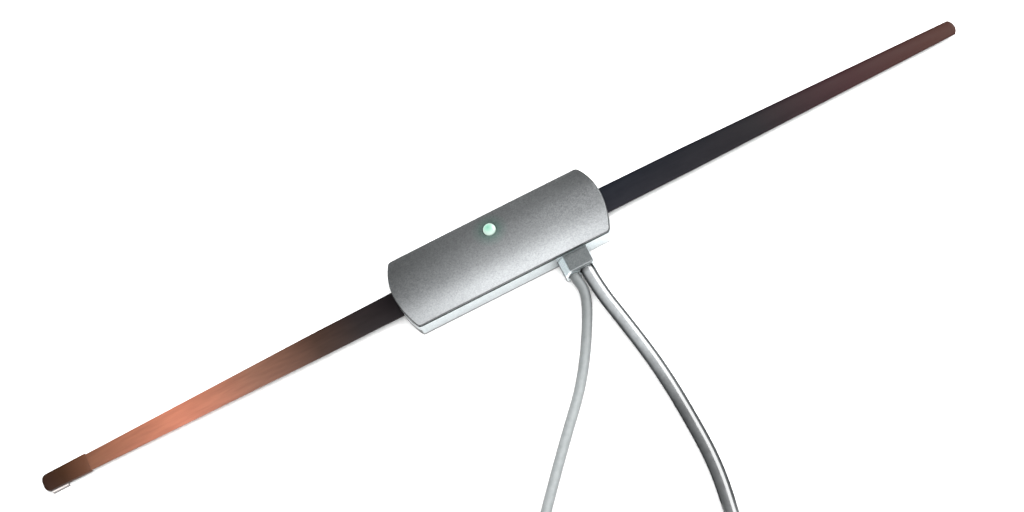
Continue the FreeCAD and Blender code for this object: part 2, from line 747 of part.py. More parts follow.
def make_transistors():
    pieces = []
    radius, height = d.transistor_radius, d.transistor_height
    y = d.board_shift - d.board_width / 4
    for side in BOTH_SIDES:
        x = side * cover_screw_x / 2
        can = cylinder("transistor_can", radius, height, x, y, board_top_z)
        flat = box("transistor_flat", (2 * radius, radius, height), x - radius, y + radius / 2, board_top_z)
        pieces.append(cut("transistor", can, flat))
    keep("transistors", group("transistor_pair", pieces))


def make_electrolytics():
    pieces = []
    radius, height = d.electrolytic_radius, d.electrolytic_height
    bead, bevel = radius / 8, radius / 6
    y = d.board_shift + d.board_width / 5
    for side in BOTH_SIDES:
        steps = [
            (radius - bevel, 0),
            (radius, bevel),
            (radius, 3 * bead),
            (radius - bead, 4 * bead),
            (radius, 5 * bead),
            (radius, height - bevel),
            (radius - bevel, height),
            (0, height),
            (0, 0),
        ]
        can = turned("electrolytic", (0, 0), steps)
        pieces.append(place(can, side * 0.58 * cover_screw_x, y, board_top_z))
    keep("electrolytic_capacitors", group("electrolytic_pair", pieces))


def make_ceramics():
    pieces = []
    middle_z = board_top_z + d.leg_height + d.ceramic_radius
    pair_x = 0.22 * cover_screw_x
    pair_y = d.board_shift - d.board_width / 9
    for x, y in ((-pair_x, pair_y), (pair_x, pair_y), (as_size(0), board_front_y + d.resistor_inset)):
        disc_y = y - d.ceramic_thickness / 2
        disc = cylinder("disc", d.ceramic_radius, d.ceramic_thickness, x, disc_y, middle_z, TO_PLUS_Y)
        legs = []
        for side in BOTH_SIDES:
            leg_x = x + side * d.ceramic_radius / 2
            legs.append(cylinder("disc_leg", d.leg_radius, middle_z - board_top_z, leg_x, y, board_top_z))
        pieces.append(joined("ceramic_capacitor", [disc] + legs))
    keep("ceramic_capacitors", group("ceramic_set", pieces))


def make_resistors():
    pieces = []
    middle_z = board_top_z + d.resistor_lift
    for side in BOTH_SIDES:
        for y in (board_front_y + d.resistor_inset, board_far_y - d.resistor_inset):
            x = side * between_screws_x
            spot = (x - d.resistor_length / 2, y, middle_z)
            rod = cylinder("resistor_rod", d.resistor_radius, d.resistor_length, *spot, TO_PLUS_X)
            wire_x = x - d.resistor_reach
            wire = cylinder("resistor_wire", d.leg_radius, 2 * d.resistor_reach, wire_x, y, middle_z, TO_PLUS_X)
            legs = []
            for end in BOTH_SIDES:
                leg_x = x + end * (d.resistor_reach - d.leg_radius)
                legs.append(cylinder("resistor_leg", d.leg_radius, d.resistor_lift, leg_x, y, board_top_z))
            pieces.append(joined("resistor", [rod, wire] + legs))
    keep("resistors", group("resistor_set", pieces))


def make_chokes():
    cores = []
    windings = []
    flange_top = d.choke_height - d.choke_flange
    for side in BOTH_SIDES:
        x = side * between_screws_x
        steps = [
            (d.choke_radius, 0),
            (d.choke_radius, d.choke_flange),
            (d.choke_neck_radius, d.choke_flange),
            (d.choke_neck_radius, flange_top),
            (d.choke_radius, flange_top),
            (d.choke_radius, d.choke_height),
            (0, d.choke_height),
            (0, 0),
        ]
        cores.append(place(turned("choke_core", (0, 0), steps), x, 0, board_top_z))
        low = d.choke_flange + d.touch_clearance
        high = flange_top - d.touch_clearance
        inner = d.choke_neck_radius + d.touch_clearance
        steps = [(d.choke_winding_radius, low), (d.choke_winding_radius, high), (inner, high), (inner, low)]
        windings.append(place(turned("choke_winding", (inner, low), steps), x, 0, board_top_z))
    keep("choke_cores", group("choke_core_pair", cores))
    keep("choke_windings", group("choke_winding_pair", windings))


def make_stripped_ends():
    """The thick lead's insulation and wire, and the thin lead's two wires, up to the board."""
    insulation_end_y = board_front_y - d.board_edge_gap
    wire_end_y = board_front_y + d.wire_under_board
    spot = (aerial_x, jacket_end_y, aerial_z)
    insulation = cylinder(
        "insulation", d.dielectric_radius, insulation_end_y - jacket_end_y, *spot, TO_PLUS_Y
    )
    keep("aerial_lead_dielectric", insulation)
    spot = (aerial_x, insulation_end_y, aerial_z)
    wire = cylinder("wire", d.conductor_radius, wire_end_y - insulation_end_y, *spot, TO_PLUS_Y)
    keep("aerial_lead_conductor", wire)
    cores = []
    for side in BOTH_SIDES:
        spot = (power_x + side * d.core_spacing / 2, jacket_end_y, power_z)
        cores.append(cylinder("core", d.core_radius, wire_end_y - jacket_end_y, *spot, TO_PLUS_Y))
    keep("power_lead_cores", group("core_pair", cores))


def cord_wire(name, route):
    """Straight runs joined by tangent arcs, each as large as its two runs allow."""
    edges = []
    here = route[0]
    radii = []
    for before, corner, after in zip(route, route[1:], route[2:]):
        back = (before - corner).normalize()
        ahead = (after - corner).normalize()
        half_turn = (math.pi - back.getAngle(ahead)) / 2
        reach = 0.45 * min((before - corner).Length, (after - corner).Length)
        radius = reach / math.tan(half_turn)
        start = corner + back * reach
        end = corner + ahead * reach
        inward = (back + ahead).normalize()
        middle = corner + inward * (radius / math.cos(half_turn) - radius)
        edges.append(Part.LineSegment(here, start).toShape())
        edges.append(Part.Arc(start, middle, end).toShape())
        here = end
        radii.append(radius)
    edges.append(Part.LineSegment(here, route[-1]).toShape())
    print(name, "radii", [round(radius, 1) for radius in radii])
    return Part.Wire(edges)


def make_cord(node, route, radius):
    wire = cord_wire(node, route)
    circle = Part.Circle(route[0], route[1] - route[0], radius)
    tube = wire.makePipeShell([Part.Wire([circle.toShape()])], True, False)
    expected = math.pi * radius * radius * wire.Length
    print(node, "length", round(wire.Length, 2), "volume share", round(tube.Volume / expected, 5))
    feature = doc.addObject("Part::Feature", node)
    feature.Shape = tube
    keep(node, feature)


# Routes of the two leads, as they lie on the glass plane in front of the housing, and of their ends
# behind the coils; each also has a straight run into its bore or plug
STRAIGHT_OUT = 16.5
STRAIGHT_INTO_PLUG = 12.0
STRAIGHT_INTO_TERMINAL = 10.5
AERIAL_ROUTE = [
    (28.3, -46.5, 3.0),
    (31.2, -66.0, 2.7),
    (32.2, -86.0, 2.7),
    (31.4, -106.0, 2.7),
    (28.5, -126.0, 2.7),
    (24.0, -146.0, 2.8),
    (22.2, -157.6, 3.2),
    (20.9, -169.0, 3.7),
]
POWER_ROUTE = [
    (13.3, -43.5, 2.1),
    (3.5, -58.5, 2.0),
    (-8.5, -71.5, 2.0),
    (-20.0, -84.7, 2.0),
    (-31.4, -98.2, 2.3),
    (-39.1, -107.4, 2.9),
]
AERIAL_TAIL = [
    (73.7, -223.3, 19.75),
    (86.5, -223.5, 17.4),
    (99.5, -223.2, 10.8),
]
POWER_TAIL = [
    (-54.1, -149.7, 14.85),
    (-54.3, -160.0, 13.0),
    (-53.9, -171.0, 7.2),
]


def make_leads():
    route = [Vector(*spot) for spot in AERIAL_ROUTE]
    start = Vector(aerial_x.value, jacket_end_y.value, aerial_z.value)
    make_cord("aerial_lead", [start, start - Vector(0, STRAIGHT_OUT, 0)] + route, aerial_radius.value)
    route = [Vector(*spot) for spot in POWER_ROUTE]
    start = Vector(power_x.value, jacket_end_y.value, power_z.value)
    make_cord("power_lead", [start, start - Vector(0, STRAIGHT_OUT, 0)] + route, power_radius.value)
    route = [Vector(*spot) for spot in AERIAL_TAIL]
    end = Vector(d.plug_x.value, d.plug_y.value, d.plug_axis_z.value)
    route += [end - Vector(STRAIGHT_INTO_PLUG, 0, 0), end]
    make_cord("aerial_lead_tail", route, aerial_radius.value)
    route = [Vector(*spot) for spot in POWER_TAIL]
    end = Vector(d.terminal_x.value, d.terminal_y.value, d.terminal_axis_z.value)
    route += [end + Vector(0, STRAIGHT_INTO_TERMINAL, 0), end]
    make_cord("power_lead_tail", route, power_radius.value)


def make_coil(lead, diameter, turn_radius, x, y):
    """The put-away length of a lead as one ring, and the strap that holds its turns together."""
    pitch = diameter + d.turn_gap
    inner = turn_radius - pitch * TURNS_WIDE / 2
    outer = turn_radius + pitch * TURNS_WIDE / 2
    height = pitch * TURNS_HIGH
    low_z = d.tie_thickness + d.tie_play
    ring = cylinder(lead + "_ring", outer, height, x, y, low_z)
    eye = cylinder(lead + "_eye", inner, height + 2 * CUT_PAST, x, y, low_z - CUT_PAST)
    keep(lead + "_coil", cut(lead + "_turns", ring, eye))
    inside = (outer - inner + 2 * d.tie_play, d.tie_width + 2 * CUT_PAST, height + 2 * d.tie_play)
    outside = (inside[0] + 2 * d.tie_thickness, d.tie_width, inside[2] + 2 * d.tie_thickness)
    inside_x = x + inner - d.tie_play
    strap = box(lead + "_strap", outside, inside_x - d.tie_thickness, y - d.tie_width / 2, 0)
    window = box(lead + "_window", inside, inside_x, y - d.tie_width / 2 - CUT_PAST, d.tie_thickness)
    keep(lead + "_tie", cut(lead + "_band", strap, window))


def make_plug():
    """Aerial plug: moulded grip, slit barrel, insulating disc and middle pin, lying along +X."""
    spot = (d.plug_x, d.plug_y, d.plug_axis_z, TO_PLUS_X)
    grip, neck, front = d.grip_radius, d.grip_neck_radius, d.grip_length
    steps = [
        (neck, 0),
        (1.08 * neck, d.grip_neck_length),
        (grip, 1.3 * d.grip_neck_length),
        (grip, front - 0.2 * grip),
        (0.92 * grip, front),
        (0, front),
        (0, 0),
    ]
    keep("aerial_plug_grip", place(turned("grip", (0, 0), steps), *spot))
    outer = d.barrel_radius
    inner = outer - d.barrel_wall
    mouth = front + d.barrel_length
    steps = [
        (outer, front),
        (outer, mouth - 0.5 * d.barrel_wall),
        (outer - 0.5 * d.barrel_wall, mouth),
        (inner, mouth),
        (inner, front),
    ]
    tube = place(turned("barrel_tube", (inner, front), steps), *spot)
    width = 2 * outer + 2 * CUT_PAST
    lengths = (d.barrel_slit_length + CUT_PAST, width, d.barrel_slit)
    slit_x = d.plug_x + mouth - d.barrel_slit_length
    half_root = root(as_size(0.5))
    slits = []
    for side in BOTH_SIDES:
        slit_y = d.plug_y - half_root * (width - side * d.barrel_slit) / 2
        slit_z = d.plug_axis_z - half_root * (side * width + d.barrel_slit) / 2
        aslant = Rotation(Vector(1, 0, 0), 45 * side)
        slits.append(place(box("barrel_slit", lengths, 0, 0, 0), slit_x, slit_y, slit_z, aslant))
    keep("aerial_plug_barrel", cut("barrel", tube, joined("barrel_slits", slits)))
    pin = d.plug_pin_radius
    bore = pin + d.touch_clearance
    rim = inner - d.touch_clearance
    back = front + d.insulator_length
    steps = [(rim, front), (rim, back), (bore, back), (bore, front)]
    keep("aerial_plug_insulator", place(turned("insulator", (bore, front), steps), *spot))
    tip = front + d.plug_pin_length
    steps = [
        (pin, front),
        (pin, tip - 3.2 * pin),
        (0.8 * pin, tip - 2.6 * pin),
        (pin, tip - 2.0 * pin),
        (pin, tip - pin),
        (0, tip, pin, 1),
        (0, front),
    ]
    keep("aerial_plug_pin", place(turned("plug_pin", (0, front), steps), *spot))


def make_terminal():
    """Round push-on terminal of the thin lead in its sleeve, lying along -Y."""
    spot = (d.terminal_x, d.terminal_y, d.terminal_axis_z, TO_MINUS_Y)
    body, neck, front = d.sleeve_radius, d.sleeve_neck_radius, d.sleeve_length
    steps = [
        (neck, 0),
        (body, 0.25 * front),
        (body, front - 0.2 * body),
        (0.85 * body, front),
        (0, front),
        (0, 0),
    ]
    keep("power_terminal_sleeve", place(turned("sleeve", (0, 0), steps), *spot))
    pin = d.terminal_radius
    collar = front + d.terminal_collar
    straight = collar + d.terminal_length
    nose = straight + d.terminal_nose
    steps = [
        (1.15 * pin, front),
        (1.15 * pin, collar),
        (pin, collar),
        (pin, straight),
        (0.75 * pin, straight + 0.6 * d.terminal_nose),
        (0.4 * pin, nose),
        (0, nose),
        (0, front),
    ]
    keep("power_terminal_pin", place(turned("terminal", (0, front), steps), *spot))


make_base_tray()
make_top_cover()
make_mounting_pad()
make_blades()
make_left_tip()
make_board()
make_screws()
make_led()
make_transistors()
make_electrolytics()
make_ceramics()
make_resistors()
make_chokes()
make_stripped_ends()
make_leads()
make_coil("aerial_lead", d.aerial_lead_diameter, d.aerial_coil_radius, d.aerial_coil_x, d.aerial_coil_y)
make_coil("power_lead", d.power_lead_diameter, d.power_coil_radius, d.power_coil_x, d.power_coil_y)
make_plug()
make_terminal()

doc.recompute()
faults = [item.Label for item in doc.Objects if "Invalid" in item.State or "Error" in item.State]
for node, item in parts.items():
    if item.Shape.isNull() or not item.Shape.isValid():
        faults.append(node)
if faults:
    raise RuntimeError(f"not built: {faults}")
os.makedirs("parts", exist_ok=True)
for node, item in parts.items():
    item.Shape.exportStep(f"parts/{node}.step")
    print(node, len(item.Shape.Solids), "solids", round(item.Shape.Volume, 2), "mm3")
print(len(parts), "pieces")
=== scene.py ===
# %% [markdown]
# # A windscreen antenna for a car radio
# The antenna is a small silver housing with a lamp, two thin tapered blades and two leads. Its solids
# come from a CAD model that is already exact, so this lesson loads them as a fixed frame and dresses
# them: cords, blades, lamp and plugs are modelled anew, and every surface gets its own finish.

# %% Load the frame
import math

import bpy
from mathutils import Matrix, Vector


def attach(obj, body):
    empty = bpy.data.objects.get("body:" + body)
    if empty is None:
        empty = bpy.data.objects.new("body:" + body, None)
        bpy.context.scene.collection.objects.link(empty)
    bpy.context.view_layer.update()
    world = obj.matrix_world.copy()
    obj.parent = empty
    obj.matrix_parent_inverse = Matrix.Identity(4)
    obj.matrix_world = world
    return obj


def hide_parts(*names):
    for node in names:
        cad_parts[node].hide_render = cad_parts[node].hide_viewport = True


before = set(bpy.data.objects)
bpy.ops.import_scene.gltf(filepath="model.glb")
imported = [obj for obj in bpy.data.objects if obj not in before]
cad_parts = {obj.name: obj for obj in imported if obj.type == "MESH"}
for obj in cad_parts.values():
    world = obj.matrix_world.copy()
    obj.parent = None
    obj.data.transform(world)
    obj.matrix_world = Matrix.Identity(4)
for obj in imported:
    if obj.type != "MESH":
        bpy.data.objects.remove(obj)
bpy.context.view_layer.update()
bpy.ops.object.select_all(action="DESELECT")
scene = bpy.context.scene
MM = 0.001
print("pieces in the frame:", len(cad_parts))

# %% [markdown]
# ## The camera
# The photograph looks down on the antenna from the side of its leads, and the picture is turned so
# that the blades rise to the right. A camera is a place and three directions. They are written here
# as a matrix: first the level camera, then its roll about the line of sight.

# %% Camera
TARGET = Vector((0.0, 0.0, 0.006))
DISTANCE = 0.7
ELEVATION = math.radians(67.2)
SIDE_STEP = math.radians(3.447)
ROLL = math.radians(23.587)
LENS = 68.23
SENSOR_WIDTH = 36.0
SHIFT = (0.0118, -0.0049)

towards = Vector((
    -math.sin(SIDE_STEP) * math.cos(ELEVATION),
    -math.cos(SIDE_STEP) * math.cos(ELEVATION),
    math.sin(ELEVATION),
))
level_right = Vector((math.cos(SIDE_STEP), -math.sin(SIDE_STEP), 0.0))
level_up = towards.cross(level_right)
rolled_right = level_right * math.cos(ROLL) - level_up * math.sin(ROLL)
rolled_up = level_right * math.sin(ROLL) + level_up * math.cos(ROLL)
camera_data = bpy.data.cameras.new("photo_camera")
camera_data.lens = LENS
camera_data.sensor_width = SENSOR_WIDTH
camera_data.shift_x, camera_data.shift_y = SHIFT
camera = bpy.data.objects.new("photo_camera", camera_data)
scene.collection.objects.link(camera)
turn = Matrix((rolled_right, rolled_up, towards)).transposed().to_4x4()
camera.matrix_world = Matrix.Translation(TARGET + towards * DISTANCE) @ turn
scene.camera = camera
print("camera stands at", [round(value, 3) for value in camera.location])

# %% [markdown]
# ## The two leads
# Both leads leave the block on the front wall and run out of the picture. The thick one is the aerial
# cable, the thin one carries the power. What the picture doesn't show is wound up and tied, and ends
# in a plug. A lead is one smooth curve: a spline with a round section, led by a few control points
# along the route and sixteen for each turn of the coil.

# %% Control points of the leads, in millimetres
AERIAL_DIAMETER = 5.2
POWER_DIAMETER = 3.8
AERIAL_ROUTE = [
    (24.7, -10.9, 4.45),
    (24.7, -27.4, 4.45),
    (28.3, -46.5, 3.0),
    (31.2, -66.0, 2.7),
    (32.2, -86.0, 2.7),
    (32.2, -106.0, 2.7),
    (28.5, -126.0, 2.7),
    (24.0, -146.0, 2.8),
    (22.2, -157.6, 3.2),
    (20.9, -169.0, 3.7),
]
AERIAL_TAIL = [
    (73.7, -223.3, 19.75),
    (86.5, -223.5, 17.4),
    (99.5, -223.2, 10.8),
    (112.0, -223.3, 5.7),
    (124.0, -223.3, 5.7),
]
POWER_ROUTE = [
    (19.5, -10.9, 4.15),
    (19.5, -21.5, 4.15),
    (20.9, -28.6, 3.7),
    (13.3, -43.5, 2.1),
    (3.5, -58.5, 2.0),
    (-8.5, -71.5, 2.0),
    (-20.0, -84.7, 2.0),
    (-31.4, -98.2, 2.3),
    (-39.1, -107.4, 2.9),
]
POWER_TAIL = [
    (-54.1, -149.7, 14.85),
    (-54.3, -160.0, 13.0),
    (-53.9, -171.0, 7.2),
    (-54.1, -181.5, 3.1),
    (-54.1, -192.0, 3.1),
]
print("route points:", len(AERIAL_ROUTE), "and", len(POWER_ROUTE))

# %% [markdown]
# The coils are wound like thread on a reel: three turns side by side, then up to the next layer and
# back. A turn moves sideways or climbs only in its last part, so the rest of it lies flat. Angles are
# in degrees. A spline of this kind cuts inside its control points, so they stand a little further out.

# %% Coils
TURN = 360.0
POINT_STEP = 22.5
LAYERS = 4
SIDE_MOVE = 67.5
CLIMB = 45.0
LAYER_SWEEP = 3 * TURN - SIDE_MOVE - CLIMB
COIL_FOOT = 1.2


def coil_points(centre, radii, pitch, start, sweep):
    """Control points of a coil from a start angle on, over a sweep."""
    steps = round(sweep / POINT_STEP)
    step = sweep / steps
    swell = 1.0 / (0.75 + 0.25 * math.cos(math.radians(step)))
    points = []
    for count in range(steps + 1):
        gone = count * step
        layer = min(int(gone // LAYER_SWEEP), LAYERS - 1)
        within = gone - layer * LAYER_SWEEP
        order = radii if layer % 2 == 0 else radii[::-1]
        radius = order[0]
        for move, wider in enumerate(order[1:], 1):
            begin = TURN * move - CLIMB - SIDE_MOVE
            share = min(max((within - begin) / SIDE_MOVE, 0.0), 1.0)
            radius += (wider - order[move - 1]) * share
        climbed = min(max((within - LAYER_SWEEP + CLIMB) / CLIMB, 0.0), 1.0)
        if layer == LAYERS - 1:
            climbed = 0.0
        angle = math.radians(start + gone)
        points.append((
            centre[0] + radius * swell * math.cos(angle),
            centre[1] + radius * swell * math.sin(angle),
            COIL_FOOT + (layer + climbed + 0.5) * pitch,
        ))
    return points


aerial_coil = coil_points(
    centre=(54.5, -189.5), radii=(33.8, 28.5, 23.2), pitch=5.3, start=180.0, sweep=3690.0
)
power_coil = coil_points(
    centre=(-29.25, -134.7), radii=(24.9, 21.0, 17.1), pitch=3.9, start=140.4, sweep=3639.6
)
print("coil points:", len(aerial_coil), "and", len(power_coil))


# %% Lay the leads
def lay_lead(name, points, diameter):
    curve = bpy.data.curves.new(name, "CURVE")
    curve.dimensions = "3D"
    spline = curve.splines.new("NURBS")
    spline.points.add(len(points) - 1)
    for knot, (x, y, z) in zip(spline.points, points):
        knot.co = (x * MM, y * MM, z * MM, 1.0)
        knot.radius = diameter * MM / 2
    spline.order_u = 3
    spline.use_endpoint_u = True
    spline.resolution_u = 8
    curve.bevel_depth = 1.0
    curve.bevel_resolution = 7
    curve.use_fill_caps = True
    lead = bpy.data.objects.new(name, curve)
    scene.collection.objects.link(lead)
    return lead


def line_length(curve_object):
    bare = curve_object.copy()
    bare.data = curve_object.data.copy()
    bare.data.bevel_depth = 0.0
    mesh = bpy.data.meshes.new_from_object(bare)
    spots = [vertex.co.copy() for vertex in mesh.vertices]
    bpy.data.meshes.remove(mesh)
    bpy.data.curves.remove(bare.data)
    return sum((b - a).length for a, b in zip(spots, spots[1:]))


aerial_cable = lay_lead("aerial_cable", AERIAL_ROUTE + aerial_coil + AERIAL_TAIL, AERIAL_DIAMETER)
power_cable = lay_lead("power_cable", POWER_ROUTE + power_coil + POWER_TAIL, POWER_DIAMETER)
aerial_length = line_length(aerial_cable)
power_length = line_length(power_cable)
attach(aerial_cable, "root")
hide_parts("aerial_lead", "aerial_lead_coil", "aerial_lead_tail")
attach(power_cable, "root")
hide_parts("power_lead", "power_lead_coil", "power_lead_tail")
print("lead lengths in metres:", round(aerial_length, 3), round(power_length, 3))

# %% [markdown]
# ## Silver paint
# Cover and tray are moulded plastic with silver paint. Such paint is clear lacquer full of metal
# flakes: it mirrors the room softly, so the crowned cover runs from dark at the far side to bright at
# the near side, and the flakes give it a fine grain. A flat grey would look dead, so the finish is a
# small tree of nodes: a metallic shader with a mosaic of cells. The solids keep their shape from the
# CAD model.

# %% Start a finish
def new_finish(name, roughness=0.5, metallic=0.0, coat=0.0):
    finish = bpy.data.materials.new(name)
    finish.use_nodes = True
    surface = finish.node_tree.nodes["Principled BSDF"].inputs
    surface["Roughness"].default_value = roughness
    surface["Metallic"].default_value = metallic
    surface["Coat Weight"].default_value = coat
    return finish


def socket(finish, name):
    return finish.node_tree.nodes["Principled BSDF"].inputs[name]


def wire(finish, source, target):
    finish.node_tree.links.new(source, target)


# %% [markdown]
# Patterns are read at Object coordinates, which are metres here, so a noise of scale 1000 has a grain
# of about a millimetre. A noise makes soft clouds, and a Voronoi texture makes cells that lie beside
# each other like flakes.

# %% Patterns
def spot_on(finish, stretch=(1.0, 1.0, 1.0), centre=(0.0, 0.0, 0.0)):
    """Object coordinates, moved so that a centre in millimetres is zero, then stretched."""
    place = finish.node_tree.nodes.new("ShaderNodeTexCoord")
    mapping = finish.node_tree.nodes.new("ShaderNodeMapping")
    mapping.inputs["Scale"].default_value = stretch
    mapping.inputs["Location"].default_value = [-c * MM * s for c, s in zip(centre, stretch)]
    wire(finish, place.outputs["Object"], mapping.inputs["Vector"])
    return mapping.outputs["Vector"]


def clouds(finish, scale, detail=3.0, stretch=(1.0, 1.0, 1.0)):
    noise = finish.node_tree.nodes.new("ShaderNodeTexNoise")
    noise.inputs["Scale"].default_value = scale
    noise.inputs["Detail"].default_value = detail
    wire(finish, spot_on(finish, stretch), noise.inputs["Vector"])
    return noise.outputs["Fac"]


def cells(finish, scale):
    """One random value for each little cell, like flakes lying beside each other."""
    mosaic = finish.node_tree.nodes.new("ShaderNodeTexVoronoi")
    mosaic.inputs["Scale"].default_value = scale
    parts = finish.node_tree.nodes.new("ShaderNodeSeparateColor")
    wire(finish, spot_on(finish), mosaic.inputs["Vector"])
    wire(finish, mosaic.outputs["Color"], parts.inputs["Color"])
    return parts.outputs["Red"]


# %% [markdown]
# A pattern is only a value from 0 to 1. A colour ramp turns it into colours, a map range turns it into
# roughness, and a bump node turns it into relief.

# %% Colours from a pattern
def set_stops(ramp, stops):
    """Give a colour ramp its (position, colour) stops. A new ramp has two already."""
    for count, (position, colour) in enumerate(stops):
        stop = ramp.elements[count] if count < 2 else ramp.elements.new(position)
        stop.position = position
        stop.color = (*colour, 1.0)


def colours(finish, value, *stops):
    ramp = finish.node_tree.nodes.new("ShaderNodeValToRGB")
    set_stops(ramp.color_ramp, stops)
    wire(finish, value, ramp.inputs["Fac"])
    return ramp.outputs["Color"]


def tinted(finish, first, second):
    """One colour times another."""
    mix = finish.node_tree.nodes.new("ShaderNodeMix")
    mix.data_type = "RGBA"
    mix.blend_type = "MULTIPLY"
    mix.inputs[0].default_value = 1.0
    wire(finish, first, mix.inputs[6])
    wire(finish, second, mix.inputs[7])
    return mix.outputs[2]


# %% Sheen and relief from a pattern
NOISE_LOW = 0.3
NOISE_HIGH = 0.7


def roughness_between(finish, value, low, high):
    span = finish.node_tree.nodes.new("ShaderNodeMapRange")
    span.inputs["From Min"].default_value = NOISE_LOW
    span.inputs["From Max"].default_value = NOISE_HIGH
    span.inputs["To Min"].default_value = low
    span.inputs["To Max"].default_value = high
    wire(finish, value, span.inputs["Value"])
    wire(finish, span.outputs["Result"], socket(finish, "Roughness"))


def relief(finish, height, depth, strength=0.5):
    """Relief of a depth in millimetres."""
    bump = finish.node_tree.nodes.new("ShaderNodeBump")
    bump.inputs["Strength"].default_value = strength
    bump.inputs["Distance"].default_value = depth * MM
    wire(finish, height, bump.inputs["Height"])
    wire(finish, bump.outputs["Normal"], socket(finish, "Normal"))


# %% Silver paint
FLAKE = 3400.0


def silver_paint(name, dark, light):
    finish = new_finish(name, 0.34, 1.0)
    flakes = cells(finish, FLAKE)
    mottle = clouds(finish, FLAKE / 2.2, 2.0)
    bright = tuple(part * 1.1 for part in light)
    metal = colours(finish, flakes, (0.0, dark), (0.55, light), (1.0, bright))
    patch = colours(finish, mottle, (0.3, (0.84, 0.84, 0.85)), (0.72, (1.04, 1.04, 1.04)))
    wire(finish, tinted(finish, metal, patch), socket(finish, "Base Color"))
    roughness_between(finish, mottle, 0.30, 0.38)
    relief(finish, flakes, 0.006, 0.1)
    return finish


cover_silver = silver_paint("cover_silver", (0.318, 0.330, 0.336), (0.372, 0.386, 0.393))
socket(cover_silver, "Specular Tint").default_value = (0.8, 0.8, 0.8, 1.0)
print("finish:", cover_silver.name)

# %% [markdown]
# The cover's colour gets painted shade: darker towards both ends, on its steep rim and on the rounded
# right end, where it dims the highlight that edge mirrors. A mask says where: a value from 0 to 1 that
# follows the place on the piece or the way the surface faces. Where it is 1, the colour is darkened to a
# share of its tone.

# %% Masks
def between(finish, vector, axis, start, end):
    """A value that runs from 0 to 1 while one part of a vector goes from start to end."""
    parts = finish.node_tree.nodes.new("ShaderNodeSeparateXYZ")
    span = finish.node_tree.nodes.new("ShaderNodeMapRange")
    span.inputs["From Min"].default_value = start
    span.inputs["From Max"].default_value = end
    wire(finish, vector, parts.inputs["Vector"])
    wire(finish, parts.outputs[axis], span.inputs["Value"])
    return span.outputs["Result"]


def along(finish, axis, start, end):
    """The same for places on the piece in millimetres."""
    return between(finish, spot_on(finish), axis, start * MM, end * MM)


def facing(finish, axis, start, end):
    """The same for the way the surface faces, from -1 to 1 on each axis."""
    place = finish.node_tree.nodes.new("ShaderNodeTexCoord")
    return between(finish, place.outputs["Normal"], axis, start, end)


# %% Shading by a mask
WHITE = (1.0, 1.0, 1.0)


def filtered(finish, colour, name="Base Color"):
    """Lay another colour over the one that is wired already, like a coloured filter."""
    target = socket(finish, name)
    wire(finish, tinted(finish, target.links[0].from_socket, colour), target)


def shaded(finish, mask, tone, name="Base Color"):
    """Darken the colour to a share of its tone where the mask is 1."""
    filtered(finish, colours(finish, mask, (0.0, WHITE), (1.0, (tone, tone, tone))), name)


# %% Cover paint
def dress(finish, *names):
    """Give CAD nodes their finish."""
    for name in names:
        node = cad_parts[name]
        for place in node.material_slots:
            place.material = finish
    print(finish.name, "on", ", ".join(names))


# Painted shade: darker towards both ends, on the steep rim and on the right end's rounded edge.
shaded(cover_silver, along(cover_silver, "X", -10.0, -38.0), 0.74)
shaded(cover_silver, along(cover_silver, "X", 20.0, 40.0), 0.8)
shaded(cover_silver, facing(cover_silver, "Z", 0.9, 0.65), 0.42)
shaded(cover_silver, facing(cover_silver, "X", 0.1, 0.3), 0.25)
dress(cover_silver, "top_cover")

# %% [markdown]
# The tray has the same silver paint in a lighter tone. Its colour carries painted light and shade: the
# front of the lead block is left brightest, the walls behind it get painted shade, and painted shadow
# darkens the block's top under the cover's edge, the foot of the wall left of the block and the lower
# part of the left end. Each of these places gets its own mask. Two masks multiplied make one for the
# places that they share.

# %% Tray paint
def both(finish, first, second):
    """1 only where two masks are 1."""
    product = finish.node_tree.nodes.new("ShaderNodeMath")
    product.operation = "MULTIPLY"
    wire(finish, first, product.inputs[0])
    wire(finish, second, product.inputs[1])
    return product.outputs["Value"]


tray_silver = silver_paint("tray_silver", (0.76, 0.82, 0.835), (0.86, 0.93, 0.945))
# Painted shade on the walls behind the block, and painted shadow at the wall's foot, the left end's
# lower part and the block's top.
painted_wall_shade = along(tray_silver, "Y", -14.3, -13.9)
shaded(tray_silver, painted_wall_shade, 0.54)
left_of_block = along(tray_silver, "X", 30.0, 24.0)
painted_foot_shadow = both(tray_silver, along(tray_silver, "Z", 1.9, 1.5), left_of_block)
shaded(tray_silver, painted_foot_shadow, 0.3)
left_end = facing(tray_silver, "X", -0.4, -0.6)
painted_left_end_shade = both(tray_silver, along(tray_silver, "Z", 5.6, 5.2), left_end)
shaded(tray_silver, painted_left_end_shade, 0.1)
on_block = along(tray_silver, "Y", -13.9, -14.3)
painted_block_top_shade = both(tray_silver, on_block, along(tray_silver, "Z", 7.9, 8.4))
shaded(tray_silver, painted_block_top_shade, 0.3)
dress(tray_silver, "base_tray")

# %% [markdown]
# ## The blades
# The aerial itself is two thin metal strips under a bronze-brown film. Its colour runs along the strip:
# nearly black at the housing and brown at the tips, and on the left blade a painted reflection of a warm
# light lies in it as a copper band. A ramp on the X coordinate gives that run, and streaks along the
# strip give it life. Each blade has its own film, because the right one's gloss has a warmer tint.

# %% Bronze film
HALF_LENGTH = 185.0


